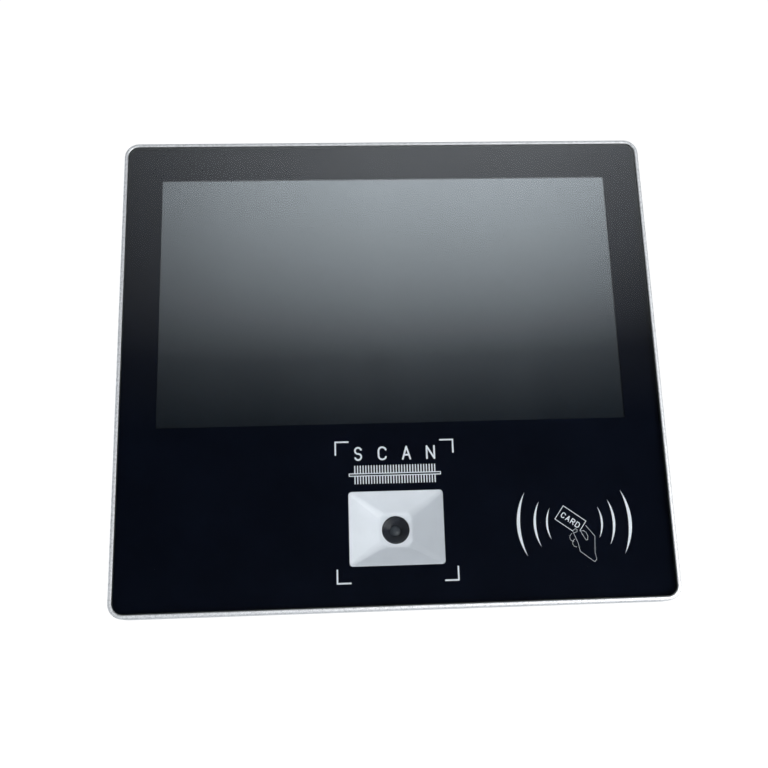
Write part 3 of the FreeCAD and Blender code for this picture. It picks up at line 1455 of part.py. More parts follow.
def nfc_cable():
    """From the antenna board through the mid plate and across to the main board's front."""
    layer = "(%s + 3 * cable_radius)" % PLATE_BACK
    return wiring("nfc_cable", [[
        (CARD_CABLE_X, ANTENNA_BACK + " + coil_thick", CARD_CABLE_Z),
        (CARD_CABLE_X, layer, CARD_CABLE_Z),
        (CARD_CABLE_X, layer, CARD_RUN_Z),
        (SCAN_PLUG_X, layer, CARD_RUN_Z),
        (SCAN_PLUG_X, BOARD_FRONT, CARD_RUN_Z)]])


def display_cable():
    """A flat ribbon straight from the back of the display to the front of the main board."""
    return centred_box("display_cable", RIBBON_X, TRAY_BACK, RIBBON_Z, "ribbon_width",
                       "%s - %s" % (BOARD_FRONT, TRAY_BACK), "flex_thick")


# ---------------------------------------------------------------- rear cover

PORTS = [("power", "power_x", "power_width", "power_tall"),
         ("audio", "audio_x", "audio_width", "audio_tall"),
         ("lan", "lan_x", "lan_width", "lan_tall"),
         ("usb_left", "usb_left_x", "usb_width", "usb_tall"),
         ("usb_right", "usb_right_x", "usb_width", "usb_tall"),
         ("video", "video_x", "video_width", "video_tall")]


def rear_cover():
    """A pressed pan with a flange, vents, sound slots, port cut-outs and button holes."""
    body = new_body("rear_cover")
    flange_width = "frame_width - 2 * (frame_wall + flange_gap)"
    flange_height = "frame_height - 2 * (frame_wall + flange_gap)"
    pad(plate_outline(body, "cover_flange", COVER_SEAT, flange_width, flange_height,
                      "frame_corner - frame_wall - flange_gap"), "cover_sheet")
    pad(plate_outline(body, "cover_pan", COVER_SEAT, "2 * " + PAN_X, "2 * " + PAN_Z,
                      "cover_corner"), "total_depth - " + COVER_SEAT)
    soften(body, "Fillet", "cover_edge", "cover_round", "Y", "0")
    pocket(plate_outline(body, "cover_inside", COVER_SEAT, "2 * (%s - cover_sheet)" % PAN_X,
                         "2 * (%s - cover_sheet)" % PAN_Z, "cover_corner - cover_sheet"),
           "total_depth - cover_sheet - " + COVER_SEAT)
    soften(body, "Fillet", "cover_inner_edge", "cover_round - cover_sheet", "Y", "0 - cover_sheet")
    pocket(circles_outline(body, "cover_screw_holes", COVER_SEAT, POST_PLACES, "clearance_radius"),
           "cover_sheet")
    inside = "total_depth - 2 * cover_sheet"
    pocket(circles_outline(body, "nut_holes", inside, MOUNT_PLACES, "nut_shank_radius"),
           "3 * cover_sheet")
    for name, rise in (("upper", "vent_rise"), ("lower", "0 - vent_drop")):
        slot = pocket(plate_outline(body, name + "_vent", inside, "vent_width", "vent_height",
                                    "vent_width * 0.49", z=rise,
                                    x="0 - vent_pitch * (vent_count - 1) / 2"), "3 * cover_sheet")
        repeat(slot, "X_Axis", "vent_count", "vent_pitch")
    for side in ("0 - ", ""):
        name = "left_sound" if side else "right_sound"
        start = "%sspeaker_x - sound_pitch * (sound_slots - 1) / 2" % side
        slot = pocket(rounded_outline(body, name, "XY_Plane", start, behind(SPEAKER_DEPTH),
                                      PAN_Z + " + cover_sheet", "sound_width", "sound_length",
                                      "sound_width * 0.49"), "3 * cover_sheet")
        repeat(slot, "X_Axis", "sound_slots", "sound_pitch")
    for name, x, width, tall in PORTS:
        middle = "%s + %s / 2" % (BOARD_BACK, tall)
        pocket(rounded_outline(body, name + "_opening", "XY_Plane", x, behind(middle),
                               "2 * cover_sheet - " + PAN_Z, width + " + 2 * port_gap",
                               tall + " + 2 * port_gap", "port_gap"), "3 * cover_sheet")
    for name, (rise, height) in BUTTONS.items():
        pocket(side_outline(body, name + "_hole", PAN_X + " + cover_sheet", rise,
                            "cap_width + 2 * cap_gap", height + " + 2 * cap_gap",
                            "cap_width * 0.45 + cap_gap"), "3 * cover_sheet")
    return body


def vesa_nuts():
    """Press-in nuts, flush with the rear face, with their flanges inside the cover."""
    nuts = []
    for number, (x, z) in enumerate(MOUNT_PLACES):
        flange = rod("nut_flange_%d" % number, x, "total_depth - nut_length", z,
                     "nut_flange_radius", "nut_length - cover_sheet")
        shank = rod("nut_shank_%d" % number, x, "total_depth - nut_length", z, "nut_shank_radius",
                    "nut_length")
        bore = rod("nut_bore_%d" % number, x, "total_depth - nut_length", z, "nut_bore_radius",
                   "nut_length")
        nuts.append(cut("nut_%d" % number, join("nut_blank_%d" % number, flange, shank), bore))
    return group("vesa_nuts", nuts)


# ---------------------------------------------------------------- the whole terminal

legends = [scan_legend_print(), barcode_ruler_print(), contactless_waves_print(),
           card_hand_print()]
nodes = legends + [border_print(legends), front_frame(), cover_glass(), adhesive_tape(),
                   lcd_bezel(), lcd_panel(), backlight_unit(), lcd_support_pads(),
                   touch_controller_board(), touch_flex_cable(), mid_plate(),
                   screws("mid_plate_screws", BOSS_PLACES, PLATE_BACK, "plate_thick + 3"),
                   scan_reflector(), scan_lens_barrel(), scan_lens_glass(), scan_lens_holder(),
                   scan_image_sensor(), scan_sensor_board(), scan_module_housing(),
                   screws("scan_module_screws", EAR_PLACES, PLATE_BACK + " + ear_thick",
                          "ear_thick + plate_thick"),
                   nfc_antenna_board(), nfc_antenna_coil(), nfc_foam_pad(),
                   main_board(), board_standoffs(), board_chips(), board_connectors(), heatsink(),
                   screws("board_screws", STANDOFF_PLACES, BOARD_BACK, "main_board_thick + 5"),
                   dc_power_jack(), audio_jack(), lan_socket(),
                   usb_socket("usb_socket_left", "usb_left_x"),
                   usb_socket("usb_socket_right", "usb_right_x"), video_socket(),
                   display_cable(), scan_cable(), nfc_cable(), speaker_cables(), button_cable(),
                   speaker_boxes(), speaker_cones(), button_board(), button_bracket(),
                   tact_switch_bodies(), rear_cover(),
                   screws("rear_cover_screws", POST_PLACES, "frame_depth", "cover_sheet + 6"),
                   vesa_nuts()]
for button, (rise, height) in BUTTONS.items():
    nodes.append(push_button(button, rise, height))
    nodes.append(switch_stem(button, rise))
document.recompute()

for item in document.Objects:
    if "Invalid" in item.State or "Error" in item.State:
        raise RuntimeError("%s did not compute: %s" % (item.Name, item.State))
for node in nodes:
    if node.Shape.isNull() or not node.Shape.isValid() or not node.Shape.Solids:
        raise RuntimeError("%s has no sound shape" % node.Label)

os.makedirs("parts", exist_ok=True)
for node in nodes:
    node.Shape.exportStep(os.path.join("parts", node.Label + ".step"))
    print("%-26s %3d solids %12.1f mm3" % (node.Label, len(node.Shape.Solids), node.Shape.Volume))
print(len(nodes), "sub-parts")
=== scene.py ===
import json
import math

import bmesh
import bpy
from mathutils import Matrix, Vector


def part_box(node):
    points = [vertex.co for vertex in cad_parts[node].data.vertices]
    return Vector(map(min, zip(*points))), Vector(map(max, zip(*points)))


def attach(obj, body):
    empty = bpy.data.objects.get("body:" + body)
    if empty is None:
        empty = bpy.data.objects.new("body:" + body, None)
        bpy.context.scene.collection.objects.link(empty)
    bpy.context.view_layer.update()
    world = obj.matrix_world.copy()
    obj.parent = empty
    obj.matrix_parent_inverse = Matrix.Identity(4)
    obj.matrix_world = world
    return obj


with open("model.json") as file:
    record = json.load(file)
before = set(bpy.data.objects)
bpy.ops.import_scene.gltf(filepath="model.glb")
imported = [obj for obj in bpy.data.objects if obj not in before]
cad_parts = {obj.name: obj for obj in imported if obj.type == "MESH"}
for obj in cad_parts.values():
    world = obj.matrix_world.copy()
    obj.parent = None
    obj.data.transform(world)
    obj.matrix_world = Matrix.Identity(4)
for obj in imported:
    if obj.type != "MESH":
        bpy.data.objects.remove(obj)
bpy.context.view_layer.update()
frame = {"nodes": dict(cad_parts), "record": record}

MM = 0.001
nodes = frame["nodes"]


# ---------------------------------------------------------------- camera
# The view is from a little below and to the left of the panel's centre, looking slightly up,
# with the camera rolled a touch clockwise.

CAMERA_PLACE = Vector((-28.5, -630.0, -151.4)) * MM
CAMERA_LOOK = Vector((0.0636, 0.9585, 0.2781))
CAMERA_ROLL = math.radians(-2.13)
SENSOR_WIDTH = 36
FOCAL_LENGTH = 51.56
SHIFT_ACROSS = -0.0331
SHIFT_UP = -0.0732
NEAREST, FARTHEST = 0.01, 50


def make_camera():
    data = bpy.data.cameras.new("camera")
    data.sensor_width = SENSOR_WIDTH
    data.lens = FOCAL_LENGTH
    data.shift_x, data.shift_y = SHIFT_ACROSS, SHIFT_UP
    data.clip_start, data.clip_end = NEAREST, FARTHEST
    camera = bpy.data.objects.new("camera", data)
    bpy.context.collection.objects.link(camera)
    level = CAMERA_LOOK.to_track_quat("-Z", "Y").to_matrix()
    roll = Matrix.Rotation(CAMERA_ROLL, 3, "Z")
    camera.matrix_world = Matrix.Translation(CAMERA_PLACE) @ (level @ roll).to_4x4()
    bpy.context.scene.camera = camera


# ---------------------------------------------------------------- meshes and nodes

def finished(form, name):
    """Turn a bmesh into an object at the origin."""
    mesh = bpy.data.meshes.new(name)
    form.to_mesh(mesh)
    form.free()
    piece = bpy.data.objects.new(name, mesh)
    bpy.context.collection.objects.link(piece)
    return piece


def add(tree, kind, inputs=None, **settings):
    """A node with some of its settings and input values."""
    node = tree.nodes.new(kind)
    for name, value in settings.items():
        setattr(node, name, value)
    for name, value in (inputs or {}).items():
        node.inputs[name].default_value = value
    return node


def math_node(tree, operation, first, second=None, clamp=False):
    """An arithmetic node. Each operand is a socket or a number."""
    node = add(tree, "ShaderNodeMath", operation=operation, use_clamp=clamp)
    for socket, operand in zip(node.inputs, (first, second)):
        if isinstance(operand, bpy.types.NodeSocket):
            tree.links.new(operand, socket)
        elif operand is not None:
            socket.default_value = operand
    return node.outputs[0]


def ramp(tree, factor, stops, interpolation="LINEAR"):
    """A colour ramp from (place, colour) stops."""
    node = add(tree, "ShaderNodeValToRGB")
    node.color_ramp.interpolation = interpolation
    elements = node.color_ramp.elements
    while len(elements) < len(stops):
        elements.new(1)
    for element, (place, colour) in zip(elements, stops):
        element.position = place
        element.color = (*colour, 1) if len(colour) == 3 else colour
    tree.links.new(factor, node.inputs["Fac"])
    return node.outputs["Color"]


def spread(tree, value, low, high, new_low, new_high):
    """Maps a range of values on to another."""
    node = add(tree, "ShaderNodeMapRange", {"From Min": low, "From Max": high,
                                            "To Min": new_low, "To Max": new_high})
    tree.links.new(value, node.inputs["Value"])
    return node.outputs["Result"]


def object_place(tree):
    return add(tree, "ShaderNodeTexCoord").outputs["Object"]


def noise(tree, place, scale, detail=3.0, stretch=None):
    """Noise over an object's own coordinates, in marks to the metre."""
    if stretch:
        mapping = add(tree, "ShaderNodeMapping", {"Scale": stretch})
        tree.links.new(place, mapping.inputs["Vector"])
        place = mapping.outputs["Vector"]
    node = add(tree, "ShaderNodeTexNoise", {"Scale": scale, "Detail": detail, "Roughness": 0.6})
    tree.links.new(place, node.inputs["Vector"])
    return node.outputs["Fac"]


def grains(tree, place, scale):
    """Distance to the nearest of many scattered grains."""
    node = add(tree, "ShaderNodeTexVoronoi", {"Scale": scale})
    tree.links.new(place, node.inputs["Vector"])
    return node.outputs["Distance"]


def bump(tree, height, depth, strength=1.0, under=None):
    node = add(tree, "ShaderNodeBump", {"Distance": depth, "Strength": strength})
    tree.links.new(height, node.inputs["Height"])
    if under:
        tree.links.new(under, node.inputs["Normal"])
    return node.outputs["Normal"]


def new_finish(name, colour, roughness=0.5, metallic=0.0, **sockets):
    """A material with one Principled shader. Returns it with its node tree and shader."""
    material = bpy.data.materials.new(name)
    material.use_nodes = True
    tree = material.node_tree
    shader = next(node for node in tree.nodes if node.type == "BSDF_PRINCIPLED")
    shader.inputs["Base Color"].default_value = (*colour, 1)
    shader.inputs["Roughness"].default_value = roughness
    shader.inputs["Metallic"].default_value = metallic
    for socket, value in sockets.items():
        shader.inputs[socket.replace("_", " ")].default_value = value
    material.diffuse_color = (*colour, 1)
    return material, tree, shader


def shaded(colour, factor):
    return tuple(channel * factor for channel in colour)


NOISE_LOW, NOISE_HIGH = 0.3, 0.7


def mottle(tree, shader, marks, colour, dim, lift):
    """Vary a colour from dimmed to lifted with a noise."""
    tint = ramp(tree, marks, [(NOISE_LOW, shaded(colour, dim)), (NOISE_HIGH, shaded(colour, lift))])
    tree.links.new(tint, shader.inputs["Base Color"])


def vary_roughness(tree, shader, marks, low, high):
    """Vary the roughness with a noise."""
    level = spread(tree, marks, NOISE_LOW, NOISE_HIGH, low, high)
    tree.links.new(level, shader.inputs["Roughness"])


# ---------------------------------------------------------------- finishes

def blasted_aluminium():
    """Grit-blasted, clear-anodised aluminium: bright grains over a dull silver ground."""
    silver = (0.86, 0.865, 0.875)
    material, tree, shader = new_finish("blasted_aluminium", silver, 0.55, 0.9)
    place = object_place(tree)
    grit = noise(tree, place, 2600, 2)
    patch = noise(tree, place, 620, 2)
    pits = grains(tree, place, 1500)
    mixed = math_node(tree, "ADD", math_node(tree, "MULTIPLY", grit, 0.55),
                      math_node(tree, "MULTIPLY", patch, 0.45))
    tint = ramp(tree, mixed, [(0.36, shaded(silver, 0.7)), (0.5, silver),
                              (0.64, (0.96, 0.965, 0.97))])
    tree.links.new(tint, shader.inputs["Base Color"])
    vary_roughness(tree, shader, grit, 0.66, 0.5)
    rough = bump(tree, grit, 0.00006, 0.5)
    tree.links.new(bump(tree, pits, 0.00005, 0.3, rough), shader.inputs["Normal"])
    return material


GLASS_FACE_SHARE = 0.034
GLASS_SLANT_SHARE = 0.9
GLASS_FLATNESS = 0.95


def clear_glass():
    """Clear cover glass: it lets light straight through, reflects more at a slant, and has
    ground, darkened edges."""
    material = bpy.data.materials.new("cover_glass")
    material.use_nodes = True
    tree = material.node_tree
    tree.nodes.clear()
    facing = add(tree, "ShaderNodeLayerWeight", {"Blend": 0.5}).outputs["Facing"]
    slant = math_node(tree, "POWER", facing, 5)
    share = math_node(tree, "MULTIPLY_ADD", slant, GLASS_SLANT_SHARE)
    share.node.inputs[2].default_value = GLASS_FACE_SHARE
    smear = noise(tree, object_place(tree), 14, 3)
    through = add(tree, "ShaderNodeBsdfTransparent", {"Color": (0.975, 0.985, 0.985, 1)})
    gloss = add(tree, "ShaderNodeBsdfAnisotropic", {"Color": (1, 1, 1, 1)})
    tree.links.new(spread(tree, smear, 0.35, 0.7, 0.015, 0.05), gloss.inputs["Roughness"])
    clear = add(tree, "ShaderNodeMixShader")
    tree.links.new(share, clear.inputs["Fac"])
    tree.links.new(through.outputs["BSDF"], clear.inputs[1])
    tree.links.new(gloss.outputs["BSDF"], clear.inputs[2])
    ground = add(tree, "ShaderNodeBsdfPrincipled", {"Base Color": (0.012, 0.016, 0.016, 1),
                                                    "Roughness": 0.6})
    split = add(tree, "ShaderNodeSeparateXYZ")
    tree.links.new(add(tree, "ShaderNodeNewGeometry").outputs["True Normal"],
                   split.inputs["Vector"])
    flatness = math_node(tree, "ABSOLUTE", split.outputs["Y"])
    edge = math_node(tree, "LESS_THAN", flatness, GLASS_FLATNESS)
    blend = add(tree, "ShaderNodeMixShader")
    tree.links.new(edge, blend.inputs["Fac"])
    tree.links.new(clear.outputs["Shader"], blend.inputs[1])
    tree.links.new(ground.outputs["BSDF"], blend.inputs[2])
    output = add(tree, "ShaderNodeOutputMaterial")
    tree.links.new(blend.outputs["Shader"], output.inputs["Surface"])
    material.diffuse_color = (0.8, 0.85, 0.85, 0.3)
    return material


def black_ink():
    """Dense blue-black ink, seen through the glass, with a trace of unevenness."""
    ink = (0.0030, 0.0042, 0.0088)
    material, tree, shader = new_finish("black_ink", ink, 0.6, Specular_IOR_Level=0.0)
    cloud = noise(tree, object_place(tree), 25, 4)
    mottle(tree, shader, cloud, ink, 0.82, 1.2)
    return material


def white_ink():
    """Screen-printed white: nearly even, with fine pinholes and mesh marks."""
    white = (0.80, 0.82, 0.86)
    material, tree, shader = new_finish("white_ink", white, 0.55, Specular_IOR_Level=0.2)
    place = object_place(tree)
    mesh = noise(tree, place, 3500, 1)
    tint = ramp(tree, mesh, [(0.3, shaded(white, 0.86)), (0.5, white), (0.8, (0.88, 0.9, 0.93))])
    tree.links.new(tint, shader.inputs["Base Color"])
    return material


DISPLAY_IOR = 1.9


def display_glass():
    """A switched-off panel: smoky polariser film with a soft, bluish reflection."""
    smoke = (0.0035, 0.0065, 0.011)
    material, tree, shader = new_finish("display_glass", smoke, 0.16, IOR=DISPLAY_IOR,
                                        Specular_Tint=(0.93, 0.97, 1.0, 1))
    place = object_place(tree)
    film = noise(tree, place, 9000, 1)
    streak = noise(tree, place, 18, 3, (1.0, 1.0, 0.25))
    vary_roughness(tree, shader, streak, 0.11, 0.16)
    mottle(tree, shader, film, smoke, 0.9, 1.12)
    return material


def satin_white():
    """Moulded white plastic with a fine satin texture."""
    white = (0.80, 0.81, 0.85)
    material, tree, shader = new_finish("white_plastic", white, 0.42, Coat_Weight=0.12,
                                        Coat_Roughness=0.25)
    place = object_place(tree)
    grain = noise(tree, place, 4200, 2)
    cloud = noise(tree, place, 90, 3)
    mottle(tree, shader, cloud, white, 0.965, 1.03)
    vary_roughness(tree, shader, grain, 0.38, 0.5)
    tree.links.new(bump(tree, grain, 0.00002, 0.4), shader.inputs["Normal"])
    return material


def moulded(name, colour, low, high, grain_scale=2200, depth=0.00003):
    """Moulded plastic or rubber with a spark-eroded grain."""
    material, tree, shader = new_finish(name, colour, (low + high) / 2)
    place = object_place(tree)
    grain = noise(tree, place, grain_scale, 2)
    cloud = noise(tree, place, 70, 3)
    mottle(tree, shader, cloud, colour, 0.8, 1.25)
    vary_roughness(tree, shader, grain, low, high)
    tree.links.new(bump(tree, grain, depth, 0.6), shader.inputs["Normal"])
    return material


def plated(name, colour, low=0.22, high=0.38, brush=None):
    """Plated or drawn metal with fine marks, brushed along one axis where given."""
    material, tree, shader = new_finish(name, colour, (low + high) / 2, 1.0)
    place = object_place(tree)
    marks = noise(tree, place, 900, 3, brush)
    cloud = noise(tree, place, 60, 3)
    mottle(tree, shader, cloud, colour, 0.84, 1.08)
    vary_roughness(tree, shader, marks, low, high)
    tree.links.new(bump(tree, marks, 0.00001, 0.3), shader.inputs["Normal"])
    return material


def spangled_zinc():
    """Galvanised sheet with large, faint crystals."""
    zinc = (0.56, 0.58, 0.60)
    material, tree, shader = new_finish("zinc_steel", zinc, 0.4, 1.0)
    place = object_place(tree)
    crystals = add(tree, "ShaderNodeTexVoronoi", {"Scale": 140})
    tree.links.new(place, crystals.inputs["Vector"])
    facet = crystals.outputs["Color"]
    tint = ramp(tree, facet, [(0.2, shaded(zinc, 0.8)), (0.8, shaded(zinc, 1.12))])
    tree.links.new(tint, shader.inputs["Base Color"])
    tree.links.new(spread(tree, facet, 0.2, 0.8, 0.3, 0.5), shader.inputs["Roughness"])
    return material


def powder_coat():
    """Black powder coat: a fine orange-peel texture with rubbed, slightly greyer high spots."""
    coat = (0.022, 0.022, 0.024)
    material, tree, shader = new_finish("black_powder_coat", coat, 0.5)
    place = object_place(tree)
    peel = noise(tree, place, 900, 3)
    fleck = grains(tree, place, 2400)
    cloud = noise(tree, place, 22, 4)
    tint = ramp(tree, cloud, [(0.3, shaded(coat, 0.85)), (0.65, shaded(coat, 1.15)),
                              (0.9, shaded(coat, 1.8))])
    tree.links.new(tint, shader.inputs["Base Color"])
    vary_roughness(tree, shader, cloud, 0.44, 0.56)
    rough = bump(tree, peel, 0.00012, 0.5)
    tree.links.new(bump(tree, fleck, 0.00005, 0.35, rough), shader.inputs["Normal"])
    return material


def circuit_board():
    """Green solder mask over tracks that run along and across the board."""
    mask, track = (0.012, 0.085, 0.035), (0.03, 0.17, 0.07)
    material, tree, shader = new_finish("green_board", mask, 0.32, Coat_Weight=0.3,
                                        Coat_Roughness=0.2)
    place = object_place(tree)
    across = add(tree, "ShaderNodeTexBrick", {
        "Scale": 260.0, "Mortar Size": 0.03, "Mortar": (*track, 1),
        "Color1": (*mask, 1), "Color2": (*shaded(mask, 1.2), 1)})
    turn = add(tree, "ShaderNodeMapping", {"Rotation": (math.pi / 2, 0, 0)})
    tree.links.new(place, turn.inputs["Vector"])
    tree.links.new(turn.outputs["Vector"], across.inputs["Vector"])
    tree.links.new(across.outputs["Color"], shader.inputs["Base Color"])
    tree.links.new(bump(tree, across.outputs["Fac"], 0.00003, 0.5), shader.inputs["Normal"])
    return material


def amber_film():
    """Thin polyimide film over copper tracks."""
    film = (0.42, 0.16, 0.02)
    material, tree, shader = new_finish("amber_film", film, 0.25, Coat_Weight=0.5)
    lines = add(tree, "ShaderNodeTexWave", {"Scale": 160.0, "Distortion": 0.0},
                bands_direction="X")
    tree.links.new(object_place(tree), lines.inputs["Vector"])
    tint = ramp(tree, lines.outputs["Fac"], [(0.35, film), (0.6, (0.55, 0.27, 0.06))])
    tree.links.new(tint, shader.inputs["Base Color"])
    return material


def coated_lens():
    """A small domed lens with a slate-grey coating."""
    slate = (0.036, 0.043, 0.054)
    material, tree, shader = new_finish("lens_glass", slate, 0.4, IOR=1.5)
    bloom = noise(tree, object_place(tree), 260, 2)
    mottle(tree, shader, bloom, slate, 0.88, 1.15)
    vary_roughness(tree, shader, bloom, 0.36, 0.45)
    return material


GROOVE_PITCH = 0.9 * MM
GROOVE_DEPTH = 0.15 * MM


def turned_black():
    """Black anodised aluminium with fine turned grooves round the barrel's axis."""
    black = (0.0075, 0.0095, 0.0175)
    material, tree, shader = new_finish("turned_black", black, 0.26, 0.0, Specular_IOR_Level=0.7)
    low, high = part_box("scan_lens_barrel")
    centre = (Vector(low) + Vector(high)) / 2
    place = object_place(tree)
    about = add(tree, "ShaderNodeMapping", {"Location": (-centre.x, 0, -centre.z),
                                            "Scale": (1, 0, 1)})
    tree.links.new(place, about.inputs["Vector"])
    reach = add(tree, "ShaderNodeVectorMath", operation="LENGTH")
    tree.links.new(about.outputs["Vector"], reach.inputs[0])
    turns = math_node(tree, "MULTIPLY", reach.outputs["Value"], 2 * math.pi / GROOVE_PITCH)
    grooves = math_node(tree, "SINE", turns)
    tree.links.new(bump(tree, grooves, GROOVE_DEPTH, 0.8), shader.inputs["Normal"])
    wear = noise(tree, place, 900, 2)
    mottle(tree, shader, wear, black, 0.8, 1.3)
    return material


FINISHES = {
    "blasted_aluminium": blasted_aluminium,
    "cover_glass": clear_glass,
    "black_ink": black_ink,
    "white_ink": white_ink,
    "black_foam": lambda: moulded("black_foam", (0.02, 0.02, 0.021), 0.8, 0.95, 1500, 0.0001),
    "bright_steel": lambda: plated("bright_steel", (0.60, 0.60, 0.61)),
    "display_glass": display_glass,
    "white_plastic": satin_white,
    "green_board": circuit_board,
    "amber_film": amber_film,
    "zinc_steel": spangled_zinc,
    "black_plastic": lambda: moulded("black_plastic", (0.012, 0.012, 0.013), 0.3, 0.45),
    "lens_glass": coated_lens,
    "chip_black": lambda: moulded("chip_black", (0.016, 0.016, 0.018), 0.5, 0.65),
    "copper": lambda: plated("copper", (0.75, 0.36, 0.2), 0.2, 0.35),
    "brass_gold": lambda: plated("brass_gold", (0.78, 0.58, 0.28), 0.2, 0.35),
    "black_aluminium": lambda: moulded("black_aluminium", (0.0065, 0.0085, 0.0165), 0.2, 0.3,
                                       5000, 0.00001),
    "socket_steel": lambda: plated("socket_steel", (0.63, 0.63, 0.64), 0.18, 0.3, (1, 1, 0.06)),
    "cable_black": lambda: moulded("cable_black", (0.012, 0.012, 0.012), 0.45, 0.6),
    "cable_red": lambda: moulded("cable_red", (0.30, 0.02, 0.015), 0.4, 0.55),
    "paper_cone": lambda: moulded("paper_cone", (0.025, 0.025, 0.028), 0.7, 0.85, 1200, 0.00008),
    "black_powder_coat": powder_coat,
    "button_plastic": lambda: moulded("button_plastic", (0.04, 0.04, 0.042), 0.4, 0.52),
}


def dress_nodes():
    """Give each carried-over node the finish of its slot."""
    made = {slot: make() for slot, make in FINISHES.items()}
    grooved = turned_black()
    for entry in frame["record"]["subparts"]:
        piece = nodes[entry["node"]]
        for material_slot in piece.material_slots:
            material_slot.material = made[entry["material_slot"]]
    for material_slot in nodes["scan_lens_barrel"].material_slots:
        material_slot.material = grooved
    return made


# ---------------------------------------------------------------- light and stage

def grey(level):
    return (level, level, level)


def at_height(degrees):
    """The ramp place of a direction so many degrees above the horizon."""
    return (math.sin(math.radians(degrees)) + 1) / 2


FRONT_POWER = 3.5
FRONT_LEVELS = [(at_height(-90), grey(0.16)), (at_height(-25), grey(0.10)),
                (at_height(-6), grey(0.012)), (at_height(6), grey(0.005)),
                (at_height(11), grey(0.005)), (at_height(14.5), grey(0.068)),
                (at_height(17.5), grey(0.335)), (at_height(20.5), grey(0.575)),
                (at_height(25), grey(0.92)), (at_height(30), grey(0.6)),
                (at_height(40), grey(0.08)), (at_height(90), grey(0.06))]
SIDE_LEVELS = [(0.2, grey(0.12)), (0.4, grey(0.36)), (0.425, grey(0.48)),
               (0.455, grey(0.68)), (0.52, grey(0.95)), (0.585, grey(1.0)),
               (0.65, grey(0.72)), (0.8, grey(0.25))]
FLANK_LEVELS = [(0.0, grey(1.0)), (0.2, grey(0.55)), (0.8, grey(0.45)), (1.0, grey(0.4))]
AROUND_LEVELS = [(0.0, grey(0.25)), (0.4, grey(0.4)), (0.6, grey(0.5)), (1.0, grey(0.7))]
ROOM_COLOUR = (0.93, 0.985, 1.04, 1)
ROOM_POWER = 2.0
PAPER_LEVEL = 1.05


def make_world():
    """A pale, slightly blue room. In front it is dark at eye level and brightest a third of the
    way up, a little to the right."""
    world = bpy.data.worlds.new("studio")
    bpy.context.scene.world = world
    world.use_nodes = True
    tree = world.node_tree
    tree.nodes.clear()
    parts = add(tree, "ShaderNodeSeparateXYZ")
    tree.links.new(add(tree, "ShaderNodeTexCoord").outputs["Generated"], parts.inputs["Vector"])
    across, along, up = parts.outputs
    front = spread(tree, along, 0.1, -0.45, 0.0, 1.0)
    level = ramp(tree, spread(tree, up, -1.0, 1.0, 0.0, 1.0), FRONT_LEVELS)
    side = ramp(tree, spread(tree, across, -1.0, 1.0, 0.0, 1.0), SIDE_LEVELS)
    in_front = math_node(tree, "MULTIPLY", math_node(tree, "MULTIPLY", level, side), FRONT_POWER)
    low = ramp(tree, spread(tree, up, -1.0, 1.0, 0.0, 1.0), AROUND_LEVELS)
    behind = spread(tree, along, 0.3, 0.9, 1.0, 1.5)
    flank = ramp(tree, spread(tree, across, -1.0, 1.0, 0.0, 1.0), FLANK_LEVELS)
    around = math_node(tree, "MULTIPLY", math_node(tree, "MULTIPLY", low, behind),
                       math_node(tree, "MULTIPLY", flank, ROOM_POWER))
    lit = add(tree, "ShaderNodeMix", data_type="FLOAT")
    tree.links.new(front, lit.inputs["Factor"])
    tree.links.new(around, lit.inputs["A"])
    tree.links.new(in_front, lit.inputs["B"])
    room = add(tree, "ShaderNodeBackground", {"Color": ROOM_COLOUR})
    tree.links.new(lit.outputs["Result"], room.inputs["Strength"])
    paper = add(tree, "ShaderNodeBackground", {"Color": (1, 1, 1, 1), "Strength": PAPER_LEVEL})
    rays = add(tree, "ShaderNodeLightPath")
    blend = add(tree, "ShaderNodeMixShader")
    tree.links.new(rays.outputs["Is Camera Ray"], blend.inputs["Fac"])
    tree.links.new(room.outputs["Background"], blend.inputs[1])
    tree.links.new(paper.outputs["Background"], blend.inputs[2])
    output = add(tree, "ShaderNodeOutputWorld")
    tree.links.new(blend.outputs["Shader"], output.inputs["Surface"])


FLOOR_LEVEL = -0.45
FLOOR_RADIUS = 8.0
FLOOR_SIDES = 96
# The floor's painted glow grows between two distances from the terminal's middle, from the first
# strength here to the second, so it leaves a painted shade straight under the terminal.
FLOOR_PAINTED_GLOW = (1.2, 2.0, 0.0, 0.6)


def see_through_from_below(tree, shader):
    """Leave a surface opaque on its upper side only."""
    clear = add(tree, "ShaderNodeBsdfTransparent")
    sides = add(tree, "ShaderNodeMixShader")
    tree.links.new(add(tree, "ShaderNodeNewGeometry").outputs["Backfacing"], sides.inputs["Fac"])
    tree.links.new(shader.outputs["BSDF"], sides.inputs[1])
    tree.links.new(clear.outputs["BSDF"], sides.inputs[2])
    output = next(node for node in tree.nodes if node.type == "OUTPUT_MATERIAL")
    tree.links.new(sides.outputs["Shader"], output.inputs["Surface"])


